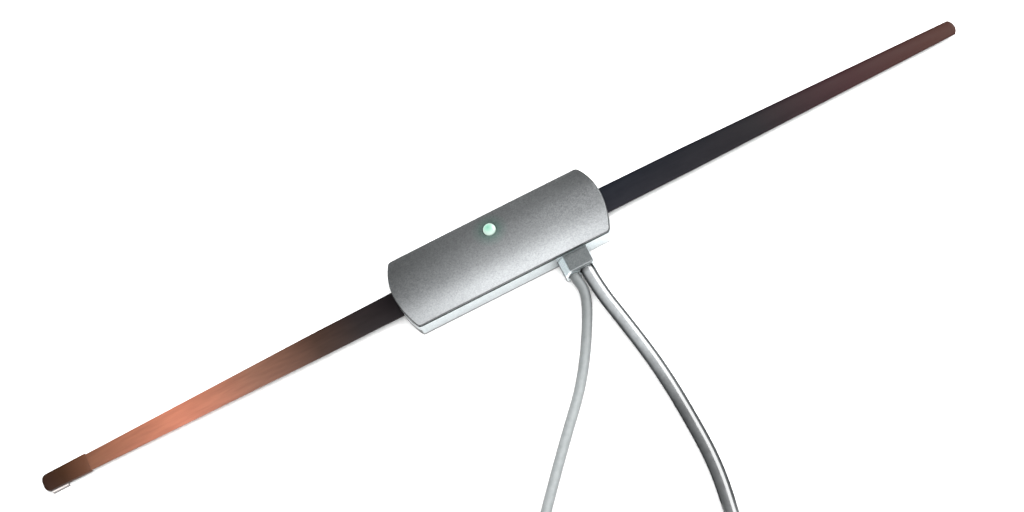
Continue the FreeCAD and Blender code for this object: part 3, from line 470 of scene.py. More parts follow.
def bronze_film(name, *tones):
    """Film whose colour runs along the blades, from the left tip at 0 to the right one at 1."""
    finish = new_finish(name, 0.34, 0.1)
    tone = colours(finish, along(finish, "X", -HALF_LENGTH, HALF_LENGTH), *tones)
    streaks = clouds(finish, 900.0, 4.0, (0.12, 1.0, 1.0))
    shade = colours(finish, streaks, (NOISE_LOW, (0.82, 0.82, 0.84)), (NOISE_HIGH, WHITE))
    wire(finish, tinted(finish, tone, shade), socket(finish, "Base Color"))
    roughness_between(finish, streaks, 0.28, 0.42)
    socket(finish, "Specular IOR Level").default_value = 0.2
    relief(finish, streaks, 0.015, 0.3)
    return finish


# The copper band near 0.15 is a painted reflection of a warm light; the other stops are the film's own
# colour.
left_film_and_reflection = bronze_film(
    "left_bronze_film_and_reflection",
    (0.03, (0.092, 0.044, 0.024)),
    (0.15, (0.35, 0.126, 0.077)),
    (0.23, (0.152, 0.070, 0.046)),
    (0.30, (0.034, 0.0175, 0.012)),
    (0.345, (0.012, 0.0085, 0.0085)),
    (0.385, (0.006, 0.004, 0.005)),
)
right_film = bronze_film(
    "right_bronze_film",
    (0.62, (0.006, 0.008, 0.012)),
    (0.78, (0.004, 0.005, 0.007)),
    (0.87, (0.014, 0.003, 0.005)),
    (0.99, (0.020, 0.003, 0.001)),
)
socket(right_film, "Specular Tint").default_value = (0.84, 0.68, 0.63, 1.0)
print("films:", left_film_and_reflection.name, right_film.name)

# %% [markdown]
# Most pieces here are made the way a hand would make them: add a simple shape, pick one of its faces,
# pull it out, scale it, and round the edges at the end. Blender's operators work on what is selected,
# so each helper begins by clearing the selection. Lengths are in millimetres.

# %% Add, pick and pull
def only(piece):
    """Leave one piece selected and active."""
    if bpy.context.mode != "OBJECT":
        bpy.ops.object.mode_set(mode="OBJECT")
    bpy.ops.object.select_all(action="DESELECT")
    if piece:
        piece.select_set(True)
        bpy.context.view_layer.objects.active = piece


def add_block(name, low, high):
    """A block between two corners, with its place in its mesh."""
    only(None)
    sides = [(b - a) * MM for a, b in zip(low, high)]
    middle = [(a + b) / 2 * MM for a, b in zip(low, high)]
    bpy.ops.mesh.primitive_cube_add(size=1.0, location=middle, scale=sides)
    bpy.ops.object.transform_apply(location=True, rotation=True, scale=True)
    block = bpy.context.object
    block.name = name
    return block


def pick_faces(piece, wanted):
    """Enter edit mode with only the wanted faces selected."""
    only(piece)
    bpy.ops.object.mode_set(mode="EDIT")
    bpy.ops.mesh.select_mode(type="FACE")
    bpy.ops.mesh.select_all(action="DESELECT")
    bpy.ops.object.mode_set(mode="OBJECT")
    for face in piece.data.polygons:
        face.select = wanted(face)
    bpy.ops.object.mode_set(mode="EDIT")


def pull(step):
    """Pull the picked faces out by a step."""
    move = {"value": [value * MM for value in step]}
    bpy.ops.mesh.extrude_region_move(TRANSFORM_OT_translate=move)


# %% Sections and edges
def pull_section(section, following):
    """Pull the end face of a strip from one section (x, half width, bottom, top) to the next."""
    x, half, low, high = following
    pull((x - section[0], 0.0, (low + high - section[2] - section[3]) / 2))
    bpy.ops.transform.resize(
        value=(1.0, half / section[1], (high - low) / (section[3] - section[2])),
        center_override=(x * MM, 0.0, (low + high) / 2 * MM),
    )


def round_edges(piece, width, segments, angle):
    """Round the edges that are sharper than an angle in degrees."""
    only(piece)
    bevel = piece.modifiers.new("rounded_edges", "BEVEL")
    bevel.width = width * MM
    bevel.segments = segments
    bevel.limit_method = "ANGLE"
    bevel.angle_limit = math.radians(angle)
    bpy.ops.object.modifier_apply(modifier=bevel.name)


# %% [markdown]
# A finished piece is closed where faces meet, smoothed where its surface bends gently, and set on the
# frame in place of the plain solid that it stands for.

# %% Hand a piece over
MERGE_DISTANCE = 0.002
SMOOTH_ANGLE = math.radians(38.0)


def hand_over(piece, finish, slot, *stands_for):
    """Close and smooth a finished piece, give it its finish and set it on the frame."""
    only(piece)
    bpy.ops.object.mode_set(mode="EDIT")
    bpy.ops.mesh.select_all(action="SELECT")
    bpy.ops.mesh.remove_doubles(threshold=MERGE_DISTANCE * MM)
    bpy.ops.mesh.normals_make_consistent(inside=False)
    bpy.ops.object.mode_set(mode="OBJECT")
    bpy.ops.object.shade_smooth_by_angle(angle=SMOOTH_ANGLE)
    piece.data.materials.clear()
    piece.data.materials.append(finish)
    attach(piece, "root")
    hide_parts(*stands_for)
    only(None)
    print(piece.name, "has", len(piece.data.polygons), "faces")


# %% [markdown]
# Each strip starts as a small block in the housing. Its outer face is pulled out section by section to
# the tapered shape, falling a little towards the glass, and a few short last sections round the tip. A
# cylinder cuts the hole for the screw that holds the strip to the board. The left strip is the mirror
# image of the right one.

# %% Sections of a blade
BLADE_TOP = 4.9
BLADE_THICK = 0.8
BLADE_ROOT = 41.5
ROOT_HALF = 5.1
DROP_FROM = 44.0
DROP = 2.0
BLADE_TAPER = [(BLADE_ROOT, ROOT_HALF), (DROP_FROM, 5.085), (75.0, 4.9)]
TIP_HALF = 3.0
TIP_BULGE = 1.4
TIP_STEPS = (2.6, 2.0, 1.25, 0.5)


def blade_section(x, half):
    fall = DROP * max(0.0, x - DROP_FROM) / (HALF_LENGTH - DROP_FROM)
    return x, half, BLADE_TOP - BLADE_THICK - fall, BLADE_TOP - fall


def blade_sections(tip):
    """Sections of the taper, then of an arc that rounds the tip."""
    tip_radius = (TIP_HALF ** 2 + TIP_BULGE ** 2) / (2 * TIP_BULGE)
    steps = BLADE_TAPER + [(tip - TIP_BULGE, TIP_HALF)]
    for half in TIP_STEPS:
        steps.append((tip - tip_radius + math.sqrt(tip_radius ** 2 - half ** 2), half))
    return [blade_section(x, half) for x, half in steps]


# %% Screw hole of a blade
SCREW_HOLE_X = 35.0
SCREW_HOLE_RADIUS = 1.4
DRILL_LENGTH = 6.0


def drill_screw_hole(blade):
    only(None)
    middle_z = BLADE_TOP - BLADE_THICK / 2
    bpy.ops.mesh.primitive_cylinder_add(
        vertices=32, radius=SCREW_HOLE_RADIUS * MM, depth=DRILL_LENGTH * MM,
        location=(SCREW_HOLE_X * MM, 0.0, middle_z * MM),
    )
    drill = bpy.context.object
    only(blade)
    hole = blade.modifiers.new("screw_hole", "BOOLEAN")
    hole.operation = "DIFFERENCE"
    hole.object = drill
    bpy.ops.object.modifier_apply(modifier=hole.name)
    bpy.data.objects.remove(drill)


# %% Blades
BLADE_INNER_END = 31.0
LEFT_TIP = 183.9


def make_blade(name, side, tip):
    sections = blade_sections(tip)
    low_z, high_z = sections[0][2:]
    blade = add_block(name, (BLADE_INNER_END, -ROOT_HALF, low_z), (BLADE_ROOT, ROOT_HALF, high_z))
    pick_faces(blade, lambda face: face.normal.x > 0.9)
    for section, following in zip(sections, sections[1:]):
        pull_section(section, following)
    drill_screw_hole(blade)
    if side < 0:
        only(blade)
        blade.scale.x = -1.0
        bpy.ops.object.transform_apply(scale=True)
    round_edges(blade, 0.18, 2, 50.0)
    return blade


left_blade = make_blade("left_aerial_blade", -1, LEFT_TIP)
hand_over(left_blade, left_film_and_reflection, "blade_coating", "left_blade")
right_blade = make_blade("right_aerial_blade", 1, HALF_LENGTH)
hand_over(right_blade, right_film, "blade_coating", "right_blade")

# %% [markdown]
# ## The left tip
# A short brown sleeve is pushed over the left tip, and a patch of white foam tape under it holds it to
# the glass. The sleeve is a block pulled out to a rounded end. Its open face is inset and pushed back
# inside, which leaves the pocket for the blade.

# %% Sleeve finish
sleeve_brown = new_finish("sleeve_brown", 0.5)
along_sleeve = along(sleeve_brown, "X", -186.0, -165.0)
sleeve_tone = colours(
    sleeve_brown, along_sleeve,
    (0.0, (0.016, 0.006, 0.0035)), (0.45, (0.026, 0.009, 0.0025)), (1.0, (0.085, 0.032, 0.016)),
)
sleeve_grain = clouds(sleeve_brown, 2600.0)
sleeve_speck = colours(sleeve_brown, sleeve_grain, (NOISE_LOW, (0.8, 0.8, 0.8)), (NOISE_HIGH, WHITE))
wire(sleeve_brown, tinted(sleeve_brown, sleeve_tone, sleeve_speck), socket(sleeve_brown, "Base Color"))
roughness_between(sleeve_brown, sleeve_grain, 0.42, 0.6)
socket(sleeve_brown, "Specular IOR Level").default_value = 0.2
relief(sleeve_brown, sleeve_grain, 0.03, 0.4)
print("finish:", sleeve_brown.name)

# %% Sleeve
MOUTH_X = -166.5
SLEEVE_SECTIONS = [
    (-168.0, 3.55, 1.84, 3.49),
    (-175.0, 3.43, 1.8, 3.4),
    (-182.9, 3.32, 1.76, 3.3),
    (-183.7, 2.95, 1.76, 3.29),
    (-184.2, 2.3, 1.78, 3.27),
    (-184.5, 1.4, 1.82, 3.23),
    (-184.6, 0.5, 1.86, 3.19),
]

start_x, start_half, start_low, start_high = SLEEVE_SECTIONS[0]
sleeve = add_block(
    "left_tip_sleeve", (start_x, -start_half, start_low), (MOUTH_X, start_half, start_high)
)
pick_faces(sleeve, lambda face: face.normal.x < -0.9)
for section, following in zip(SLEEVE_SECTIONS, SLEEVE_SECTIONS[1:]):
    pull_section(section, following)
print("sections of the sleeve:", len(SLEEVE_SECTIONS))

# %% Pocket in the sleeve
SLEEVE_WALL = 0.2
POCKET_SECTIONS = [
    (MOUTH_X, 3.34, 2.31, 3.21),
    (-182.6, 3.06, 2.06, 2.97),
    (-184.2, 0.9, 2.04, 2.95),
]

pick_faces(sleeve, lambda face: face.normal.x > 0.9)
bpy.ops.mesh.inset(thickness=SLEEVE_WALL * MM, depth=0.0)
mouth_half = start_half - SLEEVE_WALL
mouth_low = start_low + SLEEVE_WALL
mouth_high = start_high - SLEEVE_WALL
_, room_half, room_low, room_high = POCKET_SECTIONS[0]
rise = (room_low + room_high - mouth_low - mouth_high) / 2
bpy.ops.transform.translate(value=(0.0, 0.0, rise * MM))
bpy.ops.transform.resize(
    value=(1.0, room_half / mouth_half, (room_high - room_low) / (mouth_high - mouth_low)),
    center_override=(MOUTH_X * MM, 0.0, (room_low + room_high) / 2 * MM),
)
for section, following in zip(POCKET_SECTIONS, POCKET_SECTIONS[1:]):
    pull_section(section, following)
round_edges(sleeve, 0.15, 3, 50.0)
hand_over(sleeve, sleeve_brown, "tip_cap", "left_tip_cap")

# %% [markdown]
# Foam, rubber and the parts inside have plainer finishes: two tones in broad clouds, a fine grain on
# top, and a sheen and relief from that grain. One function makes them all.

# %% Grained finish
def grained(name, dark, light, roughness, grain, depth, metallic=0.0):
    """A plain finish: two tones in a fine grain, with its own sheen and relief."""
    finish = new_finish(name, roughness, metallic)
    fine = clouds(finish, grain)
    broad = clouds(finish, grain / 12)
    tone = colours(finish, broad, (NOISE_LOW, dark), (NOISE_HIGH, light))
    speck = colours(finish, fine, (0.25, (0.88, 0.88, 0.88)), (0.75, WHITE))
    wire(finish, tinted(finish, tone, speck), socket(finish, "Base Color"))
    roughness_between(finish, fine, roughness * 0.85, min(roughness * 1.2, 1.0))
    relief(finish, fine, depth)
    return finish


# %% [markdown]
# The patch of foam tape is a block whose top is pulled up and drawn in a little, so its sides lean. The
# foam is white, and painted shade darkens its sides. The pad under the tray is the same kind of foam in
# grey, and its solid is right as it is.

# %% Foam patch and pad
PATCH_LOW = (-182.8, -3.95, 0.0)
PATCH_SHOULDER = (-176.3, 3.0, 1.2)
PATCH_RISE = 0.55

foam_white = grained("foam_white", (0.60, 0.54, 0.53), (0.72, 0.68, 0.66), 0.8, 3200.0, 0.08)
# Painted shade on the patch's sides.
shaded(foam_white, facing(foam_white, "Z", 0.7, 0.3), 0.35)
patch = add_block("left_tip_patch", PATCH_LOW, PATCH_SHOULDER)
pick_faces(patch, lambda face: face.normal.z > 0.9)
pull((0.0, 0.0, PATCH_RISE))
patch_middle = [(low + high) / 2 for low, high in zip(PATCH_LOW, PATCH_SHOULDER)]
patch_top = PATCH_SHOULDER[2] + PATCH_RISE
bpy.ops.transform.resize(
    value=(0.97, 0.96, 1.0),
    center_override=(patch_middle[0] * MM, patch_middle[1] * MM, patch_top * MM),
)
round_edges(patch, 0.15, 3, 50.0)
hand_over(patch, foam_white, "adhesive_pad", "left_tip_pad")
foam_grey = grained("foam_grey", (0.40, 0.39, 0.38), (0.50, 0.49, 0.48), 0.85, 2600.0, 0.1)
dress(foam_grey, "mounting_pad")

# %% [markdown]
# ## The lamp
# A small green lamp looks out of a hole in the cover. Its glow is greenest over the chip in the middle,
# pale further out and dark at the rim, and painted green light from the lamp is laid into the colour of
# the paint around the hole. Round spots, which are gradients about a centre, give all three.

# %% Round spots
def round_spot(finish, radius, centre):
    """1 in the middle of a round spot in millimetres, 0 at its rim."""
    spot = finish.node_tree.nodes.new("ShaderNodeTexGradient")
    spot.gradient_type = "SPHERICAL"
    stretch = 1.0 / (radius * MM)
    wire(finish, spot_on(finish, (stretch, stretch, 0.0), centre), spot.inputs["Vector"])
    return spot.outputs["Fac"]


# %% Lamp glass
BLACK = (0.0, 0.0, 0.0)
LAMP_FOOT = (0.0, 6.4, 6.5)
LAMP_RADIUS = 2.5
CHIP = (-0.25, 7.1, 0.0)

lamp_glass = new_finish("lamp_glass", 0.12, 0.0, 0.4)
chip_spot = round_spot(lamp_glass, LAMP_RADIUS, CHIP)
glass_tone = colours(lamp_glass, chip_spot, (0.0, (0.05, 0.09, 0.07)), (1.0, (0.03, 0.10, 0.07)))
glow_tone = colours(
    lamp_glass, chip_spot,
    (0.0, (0.72, 0.88, 0.80)),
    (0.3, (0.68, 0.88, 0.79)),
    (0.6, (0.48, 0.82, 0.66)),
    (1.0, (0.30, 0.62, 0.47)),
)
wire(lamp_glass, glass_tone, socket(lamp_glass, "Base Color"))
wire(lamp_glass, glow_tone, socket(lamp_glass, "Emission Color"))
lamp_disc = round_spot(lamp_glass, LAMP_RADIUS, LAMP_FOOT)
lamp_rim = colours(lamp_glass, lamp_disc, (0.02, WHITE), (0.12, BLACK))
shaded(lamp_glass, lamp_rim, 0.06, "Emission Color")
socket(lamp_glass, "Emission Strength").default_value = 0.8
roughness_between(lamp_glass, clouds(lamp_glass, 1500.0), 0.08, 0.16)
print("finish:", lamp_glass.name)

# %% Painted green light on the cover
PAINTED_LIGHT_REACH = 7.0

# Painted light: the lamp's green glow multiplied into the cover's colour around the hole.
painted_lamp_light = colours(
    cover_silver, round_spot(cover_silver, PAINTED_LIGHT_REACH, LAMP_FOOT),
    (0.0, WHITE), (0.36, (0.86, 1.0, 0.95)), (0.6, (0.66, 0.95, 0.83)),
)
filtered(cover_silver, painted_lamp_light)
print("green ring on:", cover_silver.name)

# %% [markdown]
# The lamp is a round piece, so it is turned: a disc is pulled up and scaled step by step, first the
# collar on the board, then the barrel, then the dome.

# %% Turn a piece
def turn_piece(name, profile, start, tilt, sides=48):
    """A round piece from (distance, radius) steps, as on a lathe, laid from start along its axis."""
    only(None)
    reached, radius = profile[0]
    bpy.ops.mesh.primitive_circle_add(vertices=sides, radius=radius * MM, fill_type="NGON")
    piece = bpy.context.object
    piece.name = name
    pick_faces(piece, lambda face: True)
    for further, wider in profile[1:]:
        pull((0.0, 0.0, further - reached))
        bpy.ops.transform.resize(
            value=(wider / radius, wider / radius, 1.0),
            center_override=(0.0, 0.0, (further - profile[0][0]) * MM),
        )
        reached, radius = further, wider
    only(piece)
    piece.rotation_euler = tilt
    piece.location = [value * MM for value in start]
    bpy.ops.object.transform_apply(location=True, rotation=True, scale=True)
    return piece


# %% Lamp
lamp_profile = [(6.5, 2.75), (6.65, 2.9), (7.35, 2.9), (7.5, 2.75)]
lamp_profile += [(7.55, LAMP_RADIUS), (12.2, 2.48), (12.75, 2.44), (13.1, 2.32)]
lamp_profile += [(13.35, 2.1), (13.55, 1.72), (13.68, 1.25), (13.75, 0.7), (13.77, 0.25)]
lamp = turn_piece("status_lamp", lamp_profile, LAMP_FOOT, (0.0, 0.0, 0.0), 40)
hand_over(lamp, lamp_glass, "lamp_lens", "status_led")

# %% [markdown]
# ## Lead jackets
# The thick aerial cable has a glossy silver-grey jacket, the thin power lead a satin grey one. Extruded
# plastic has faint streaks and a slightly uneven gloss. Two noises, one broad and one fine, give both.

# %% Jacket
def jacket(name, dark, light, roughness):
    finish = new_finish(name, roughness)
    streaks = clouds(finish, 500.0, 3.0)
    specks = clouds(finish, 4200.0, 2.0)
    tone = colours(finish, streaks, (NOISE_LOW, dark), (NOISE_HIGH, light))
    speck = colours(finish, specks, (NOISE_LOW, (0.93, 0.93, 0.93)), (NOISE_HIGH, WHITE))
    wire(finish, tinted(finish, tone, speck), socket(finish, "Base Color"))
    roughness_between(finish, streaks, roughness * 0.8, roughness * 1.25)
    relief(finish, specks, 0.012, 0.25)
    return finish


# %% [markdown]
# The thick lead's colour carries painted light and shade: palest near the block, darker further out and
# with a painted shadow where it leaves the block. Its free stretch has painted dark, dull flanks beside
# a bright line, down to where the coil begins. Masks from the place and from the way the surface faces
# shade it. The gloss follows the flanks too, so that they don't shine.

# %% Thick lead
aerial_jacket = jacket("aerial_jacket_silver", (0.19, 0.20, 0.205), (0.24, 0.255, 0.262), 0.2)
socket(aerial_jacket, "IOR").default_value = 1.65
near_block = along(aerial_jacket, "Y", -82.0, -56.0)
further_out = along(aerial_jacket, "Y", -56.0, -82.0)
free_stretch = along(aerial_jacket, "Y", -140.0, -118.0)
painted_exit_shadow = along(aerial_jacket, "Y", -22.8, -21.0)
flanks = both(aerial_jacket, free_stretch, facing(aerial_jacket, "Z", 0.9, 0.6))
right_flank = both(aerial_jacket, free_stretch, facing(aerial_jacket, "X", 0.55, 0.68))
left_flank = both(aerial_jacket, near_block, facing(aerial_jacket, "X", -0.6, -0.85))
# Painted shade further out and on the flanks, and a painted shadow where the lead leaves the block.
shaded(aerial_jacket, further_out, 0.5)
shaded(aerial_jacket, both(aerial_jacket, free_stretch, further_out), 0.52)
shaded(aerial_jacket, flanks, 0.65)
shaded(aerial_jacket, painted_exit_shadow, 0.25)
shaded(aerial_jacket, both(aerial_jacket, near_block, right_flank), 0.36)
shaded(aerial_jacket, left_flank, 0.36)
gloss = colours(aerial_jacket, flanks, (0.25, WHITE), (1.0, BLACK))
wire(aerial_jacket, gloss, socket(aerial_jacket, "Specular IOR Level"))
shaded(aerial_jacket, right_flank, 0.0, "Specular IOR Level")
aerial_cable.data.materials.append(aerial_jacket)
print(aerial_jacket.name, "on", aerial_cable.name)

# %% [markdown]
# The thin lead is satin, so it needs less: painted shade darkens its sides and the stretch near the
# block.

# %% Thin lead
power_jacket = jacket("power_jacket_grey", (0.18, 0.195, 0.197), (0.22, 0.236, 0.238), 0.5)
# Painted shade on the sides and near the block.
shaded(power_jacket, facing(power_jacket, "Z", 0.8, 0.4), 0.75)
shaded(power_jacket, along(power_jacket, "Y", -62.0, -32.0), 0.62)
power_cable.data.materials.append(power_jacket)
print(power_jacket.name, "on", power_cable.name)

# %% [markdown]
# ## Ties
# Each coil is held by a plastic strap. It starts as a block. The top layer of a coil has no outermost
# turn, so a slanting cut takes off that corner, and the long edges are rounded. The two open sides are
# inset and bridged, which makes the band, and a face of the outside is pulled out to the buckle with
# the strap's end standing out of it.

# %% Long edges of a tie
def round_long_edges(tie, corner):
    """Round the edges that run along Y."""
    bpy.ops.mesh.select_mode(type="EDGE")
    bpy.ops.mesh.select_all(action="DESELECT")
    bpy.ops.object.mode_set(mode="OBJECT")
    spots = tie.data.vertices
    for edge in tie.data.edges:
        first, second = (spots[index].co for index in edge.vertices)
        edge.select = abs(first.y - second.y) > 1.0 * MM
    bpy.ops.object.mode_set(mode="EDIT")
    bpy.ops.mesh.bevel(offset=corner * MM, segments=5, affect="EDGES")


# %% Buckle of a tie
BUCKLE_HALF = 2.6
BUCKLE_DEPTH = 1.5
BUCKLE_FRAME = 0.7
BUCKLE_HOLLOW = 0.35
STRAP_MARGIN = 0.25
STRAP_END = 4.0


def add_buckle(tie, outer_x, buckle_z):
    """Pull a face of the outside out to a buckle, and the strap's end out of its top."""
    for cut in (buckle_z - BUCKLE_HALF, buckle_z + BUCKLE_HALF):
        bpy.ops.mesh.select_all(action="SELECT")
        bpy.ops.mesh.bisect(plane_co=(0.0, 0.0, cut * MM), plane_no=(0.0, 0.0, 1.0))

    def outside(face):
        at_height = abs(face.center.z - buckle_z * MM) < 1.0 * MM
        return face.center.x > (outer_x - 0.01) * MM and at_height

    def buckle_top(face):
        at_height = abs(face.center.z - (buckle_z + BUCKLE_HALF) * MM) < 0.1 * MM
        return face.normal.z > 0.9 and face.center.x > (outer_x + 0.1) * MM and at_height

    pick_faces(tie, outside)
    pull((BUCKLE_DEPTH, 0.0, 0.0))
    bpy.ops.mesh.inset(thickness=BUCKLE_FRAME * MM, depth=-BUCKLE_HOLLOW * MM)
    pick_faces(tie, buckle_top)
    bpy.ops.mesh.inset(thickness=STRAP_MARGIN * MM, depth=0.0)
    pull((0.0, 0.0, STRAP_END))


# %% Ties
TIE_BAND = 1.0


def make_tie(name, low, high, shoulder, corner, buckle_z):
    tie = add_block(name, low, high)
    pick_faces(tie, lambda face: True)
    bpy.ops.mesh.bisect(
        plane_co=((high[0] - shoulder) * MM, 0.0, high[2] * MM), plane_no=(1.0, 0.0, 1.0),
        use_fill=True, clear_outer=True,
    )
    round_long_edges(tie, corner)
    pick_faces(tie, lambda face: abs(face.normal.y) > 0.9)
    bpy.ops.mesh.inset(thickness=TIE_BAND * MM, depth=0.0, use_individual=True)
    bpy.ops.mesh.bridge_edge_loops()
    add_buckle(tie, high[0], buckle_z)
    round_edges(tie, 0.22, 2, 40.0)
    return tie


tie_black = grained("tie_black", (0.010, 0.010, 0.011), (0.022, 0.022, 0.024), 0.45, 1800.0, 0.03)
aerial_tie = make_tie(
    "aerial_cable_tie", (73.85, -191.5, 0.0), (92.15, -187.5, 23.6),
    shoulder=7.2, corner=3.0, buckle_z=9.4,
)
hand_over(aerial_tie, tie_black, "strap", "aerial_lead_tie")
power_tie = make_tie(
    "power_cable_tie", (-15.3, -136.7, 0.0), (-1.2, -132.7, 18.0),
    shoulder=5.4, corner=2.4, buckle_z=6.2,
)
hand_over(power_tie, tie_black, "strap", "power_lead_tie")

# %% [markdown]
# ## Plug grip and terminal sleeve
# At the far end the aerial cable has a round plug with a ribbed grip, and the power lead a bullet
# terminal with a soft sleeve. Both are turned. The ribs are steps in the profile: in, along, out,
# along.

# %% Ribs
def ribs(start, count, pitch, high, low):
    """Steps for a row of ribs, each a ridge and a groove."""
    steps = []
    for number in range(count):
        begin = start + number * pitch
        steps += [(begin, high), (begin + pitch * 0.5, high)]
        steps += [(begin + pitch * 0.6, low), (begin + pitch * 0.9, low)]
    return steps


# %% Plug grip
QUARTER_TURN = math.radians(90.0)

grip_black = grained("grip_black", (0.012, 0.012, 0.013), (0.026, 0.026, 0.028), 0.5, 1600.0, 0.05)
grip_profile = [(0.0, 2.8), (0.25, 3.2)] + ribs(0.7, 4, 1.7, 3.5, 2.95)
grip_profile += [(7.5, 3.5), (8.3, 3.9), (9.2, 4.9), (10.2, 5.4), (11.2, 5.6)]
grip_profile += ribs(12.6, 6, 1.7, 5.6, 5.25) + [(22.8, 5.6), (25.3, 5.6), (25.8, 5.4), (26.0, 5.0)]
grip = turn_piece("aerial_plug_handle", grip_profile, AERIAL_TAIL[-1], (0.0, QUARTER_TURN, 0.0))
hand_over(grip, grip_black, "plug_grip", "aerial_plug_grip")

# %% Terminal sleeve
sleeve_red = grained("terminal_red", (0.30, 0.012, 0.010), (0.42, 0.022, 0.018), 0.42, 1800.0, 0.04)
boot_profile = [(0.0, 2.1), (0.2, 2.35)] + ribs(0.8, 3, 1.4, 2.4, 2.12)
boot_profile += [(5.0, 2.4), (5.8, 2.7), (6.6, 3.0)] + ribs(8.0, 3, 1.5, 3.0, 2.75)
boot_profile += [(12.6, 3.0), (13.6, 2.95), (14.0, 2.6)]
boot = turn_piece("power_terminal_boot", boot_profile, POWER_TAIL[-1], (QUARTER_TURN, 0.0, 0.0))
hand_over(boot, sleeve_red, "terminal_sleeve", "power_terminal_sleeve")

# %% [markdown]
# ## Metal and inner parts
# The plug's metal is nickel-plated, the terminal brass. Board, screws and components sit inside the
# closed housing. Their solids are exact already, so each only gets the finish of its real material. A
# table says how each differs: tones, roughness, grain and relief.

# %% Metal
METALS = [
    ("plug_nickel", (0.58, 0.57, 0.54), (0.70, 0.69, 0.66), 0.22, 2400.0,
     ["aerial_plug_barrel", "aerial_plug_pin"]),
    ("terminal_brass", (0.62, 0.44, 0.17), (0.74, 0.54, 0.24), 0.26, 2400.0, ["power_terminal_pin"]),
    ("screw_steel", (0.50, 0.50, 0.49), (0.62, 0.62, 0.61), 0.3, 2200.0,
     ["blade_screws", "cover_screws"]),
    ("tinned_wire", (0.62, 0.62, 0.61), (0.74, 0.74, 0.73), 0.3, 2600.0, ["led_pins"]),
    ("winding_copper", (0.60, 0.27, 0.12), (0.74, 0.36, 0.18), 0.3, 2200.0, ["choke_windings"]),
    ("lead_copper", (0.66, 0.31, 0.15), (0.78, 0.40, 0.21), 0.3, 2600.0, ["aerial_lead_conductor"]),
]
METAL_RELIEF = 0.01

for name, dark, light, roughness, grain, wearers in METALS:
    dress(grained(name, dark, light, roughness, grain, METAL_RELIEF, metallic=1.0), *wearers)

# %% Board and components
PLASTICS = [
    ("board_green", (0.015, 0.10, 0.045), (0.025, 0.15, 0.07), 0.4, 1500.0, 0.02, ["circuit_board"]),
    ("moulded_black", (0.015, 0.015, 0.016), (0.03, 0.03, 0.032), 0.55, 2800.0, 0.02, ["transistors"]),
    ("sleeve_blue", (0.02, 0.035, 0.14), (0.035, 0.055, 0.20), 0.3, 1500.0, 0.01,
     ["electrolytic_capacitors"]),
    ("ceramic_tan", (0.50, 0.28, 0.11), (0.62, 0.37, 0.17), 0.5, 2400.0, 0.03, ["ceramic_capacitors"]),
    ("lacquer_beige", (0.55, 0.43, 0.28), (0.66, 0.54, 0.38), 0.4, 2400.0, 0.02, ["resistors"]),
    ("ferrite_grey", (0.045, 0.045, 0.048), (0.075, 0.075, 0.08), 0.6, 3200.0, 0.03, ["choke_cores"]),
    ("milky_insulation", (0.72, 0.72, 0.70), (0.82, 0.82, 0.80), 0.45, 1800.0, 0.02,
     ["aerial_lead_dielectric", "aerial_plug_insulator"]),
    ("core_red", (0.36, 0.02, 0.016), (0.46, 0.035, 0.028), 0.4, 1800.0, 0.02, ["power_lead_cores"]),
]

for name, dark, light, roughness, grain, depth, wearers in PLASTICS:
    dress(grained(name, dark, light, roughness, grain, depth), *wearers)

# %% [markdown]
# ## Floor and light
# The photograph was taken on a white sheet in plenty of light, with the brighter half of the room on
# the camera's side. The world is a soft dome that fades from that side to the far one, so the silver
# paint mirrors a gradient. One soft panel at the right and one above make the sheet white. The upper one
# isn't mirrored, so that the gradient stays clean.

# %% Floor
only(None)
bpy.ops.mesh.primitive_plane_add(size=6.0, location=(0.0, 0.0, 0.0))
floor = bpy.context.object
floor.name = "pale_floor"
floor_paper = grained("floor_paper", (0.92, 0.92, 0.92), (0.94, 0.94, 0.94), 0.9, 600.0, 0.01)
socket(floor_paper, "Specular IOR Level").default_value = 0.0
floor.data.materials.append(floor_paper)
only(None)
print("floor:", floor.name)

# %% Lights
LIGHT_AIM = Vector((0.0, -0.05, 0.0))


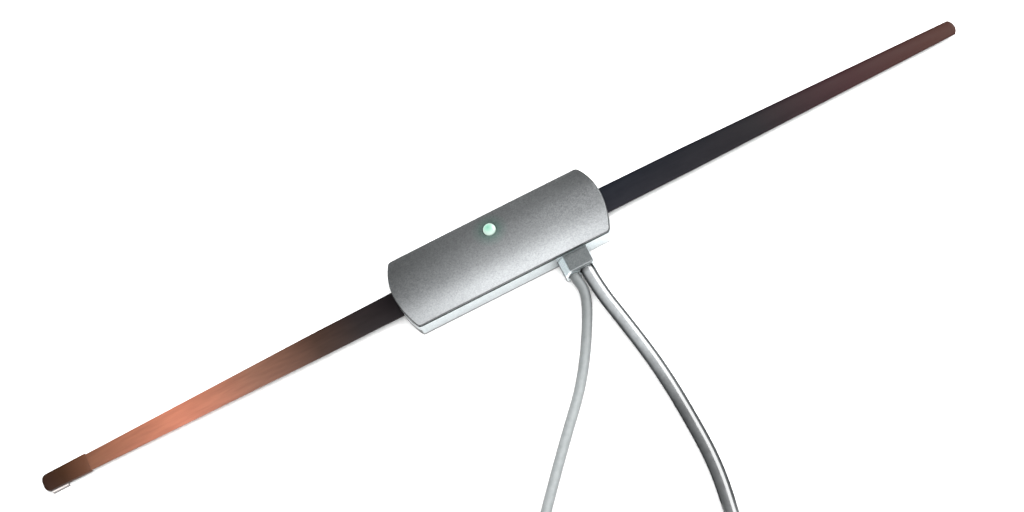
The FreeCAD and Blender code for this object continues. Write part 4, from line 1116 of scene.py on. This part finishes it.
def soft_panel(name, place, size, power):
    light = bpy.data.lights.new(name, "AREA")
    light.shape = "RECTANGLE"
    light.size = size
    light.size_y = size
    light.energy = power
    panel = bpy.data.objects.new(name, light)
    scene.collection.objects.link(panel)
    panel.location = place
    panel.rotation_euler = (LIGHT_AIM - Vector(place)).to_track_quat("-Z", "Y").to_euler()
    return panel


right_panel = soft_panel("right_panel", (1.2, 0.35, 0.95), 1.5, 44.0)
top_panel = soft_panel("top_panel", (0.0, -0.1, 1.3), 1.2, 22.0)
top_panel.visible_glossy = False
print("lights:", right_panel.name, top_panel.name)

# %% Dome
BRIGHT_SIDE = (0.05, -0.4, 0.915)
DOME_STRENGTH = 3.3
DOME_GREYS = [
    (0.0, 0.075), (1.0, 1.0), (0.24, 0.088), (0.46, 0.102), (0.65, 0.13), (0.82, 0.178), (0.93, 0.41),
]

world = bpy.data.worlds.new("studio_world")
scene.world = world
world.use_nodes = True
world_nodes = world.node_tree.nodes
world_links = world.node_tree.links
world_nodes.clear()
direction = world_nodes.new("ShaderNodeTexCoord")
nearness = world_nodes.new("ShaderNodeVectorMath")
nearness.operation = "DOT_PRODUCT"
nearness.inputs[1].default_value = BRIGHT_SIDE
span = world_nodes.new("ShaderNodeMapRange")
span.inputs["From Min"].default_value = -0.1
span.inputs["From Max"].default_value = 1.0
dome = world_nodes.new("ShaderNodeValToRGB")
set_stops(dome.color_ramp, [(position, (grey, grey, grey)) for position, grey in DOME_GREYS])
background = world_nodes.new("ShaderNodeBackground")
background.inputs["Strength"].default_value = DOME_STRENGTH
world_out = world_nodes.new("ShaderNodeOutputWorld")
world_links.new(direction.outputs["Generated"], nearness.inputs[0])
world_links.new(nearness.outputs["Value"], span.inputs["Value"])
world_links.new(span.outputs["Result"], dome.inputs["Fac"])
world_links.new(dome.outputs["Color"], background.inputs["Color"])
world_links.new(background.outputs["Background"], world_out.inputs["Surface"])
scene.view_settings.view_transform = "Standard"
print("dome stops:", len(DOME_GREYS))

# %% [markdown]
# ## The leads' names
# The names of the two leads are printed at the end.

# %% Lead names
print("declared:", aerial_cable.name, power_cable.name)
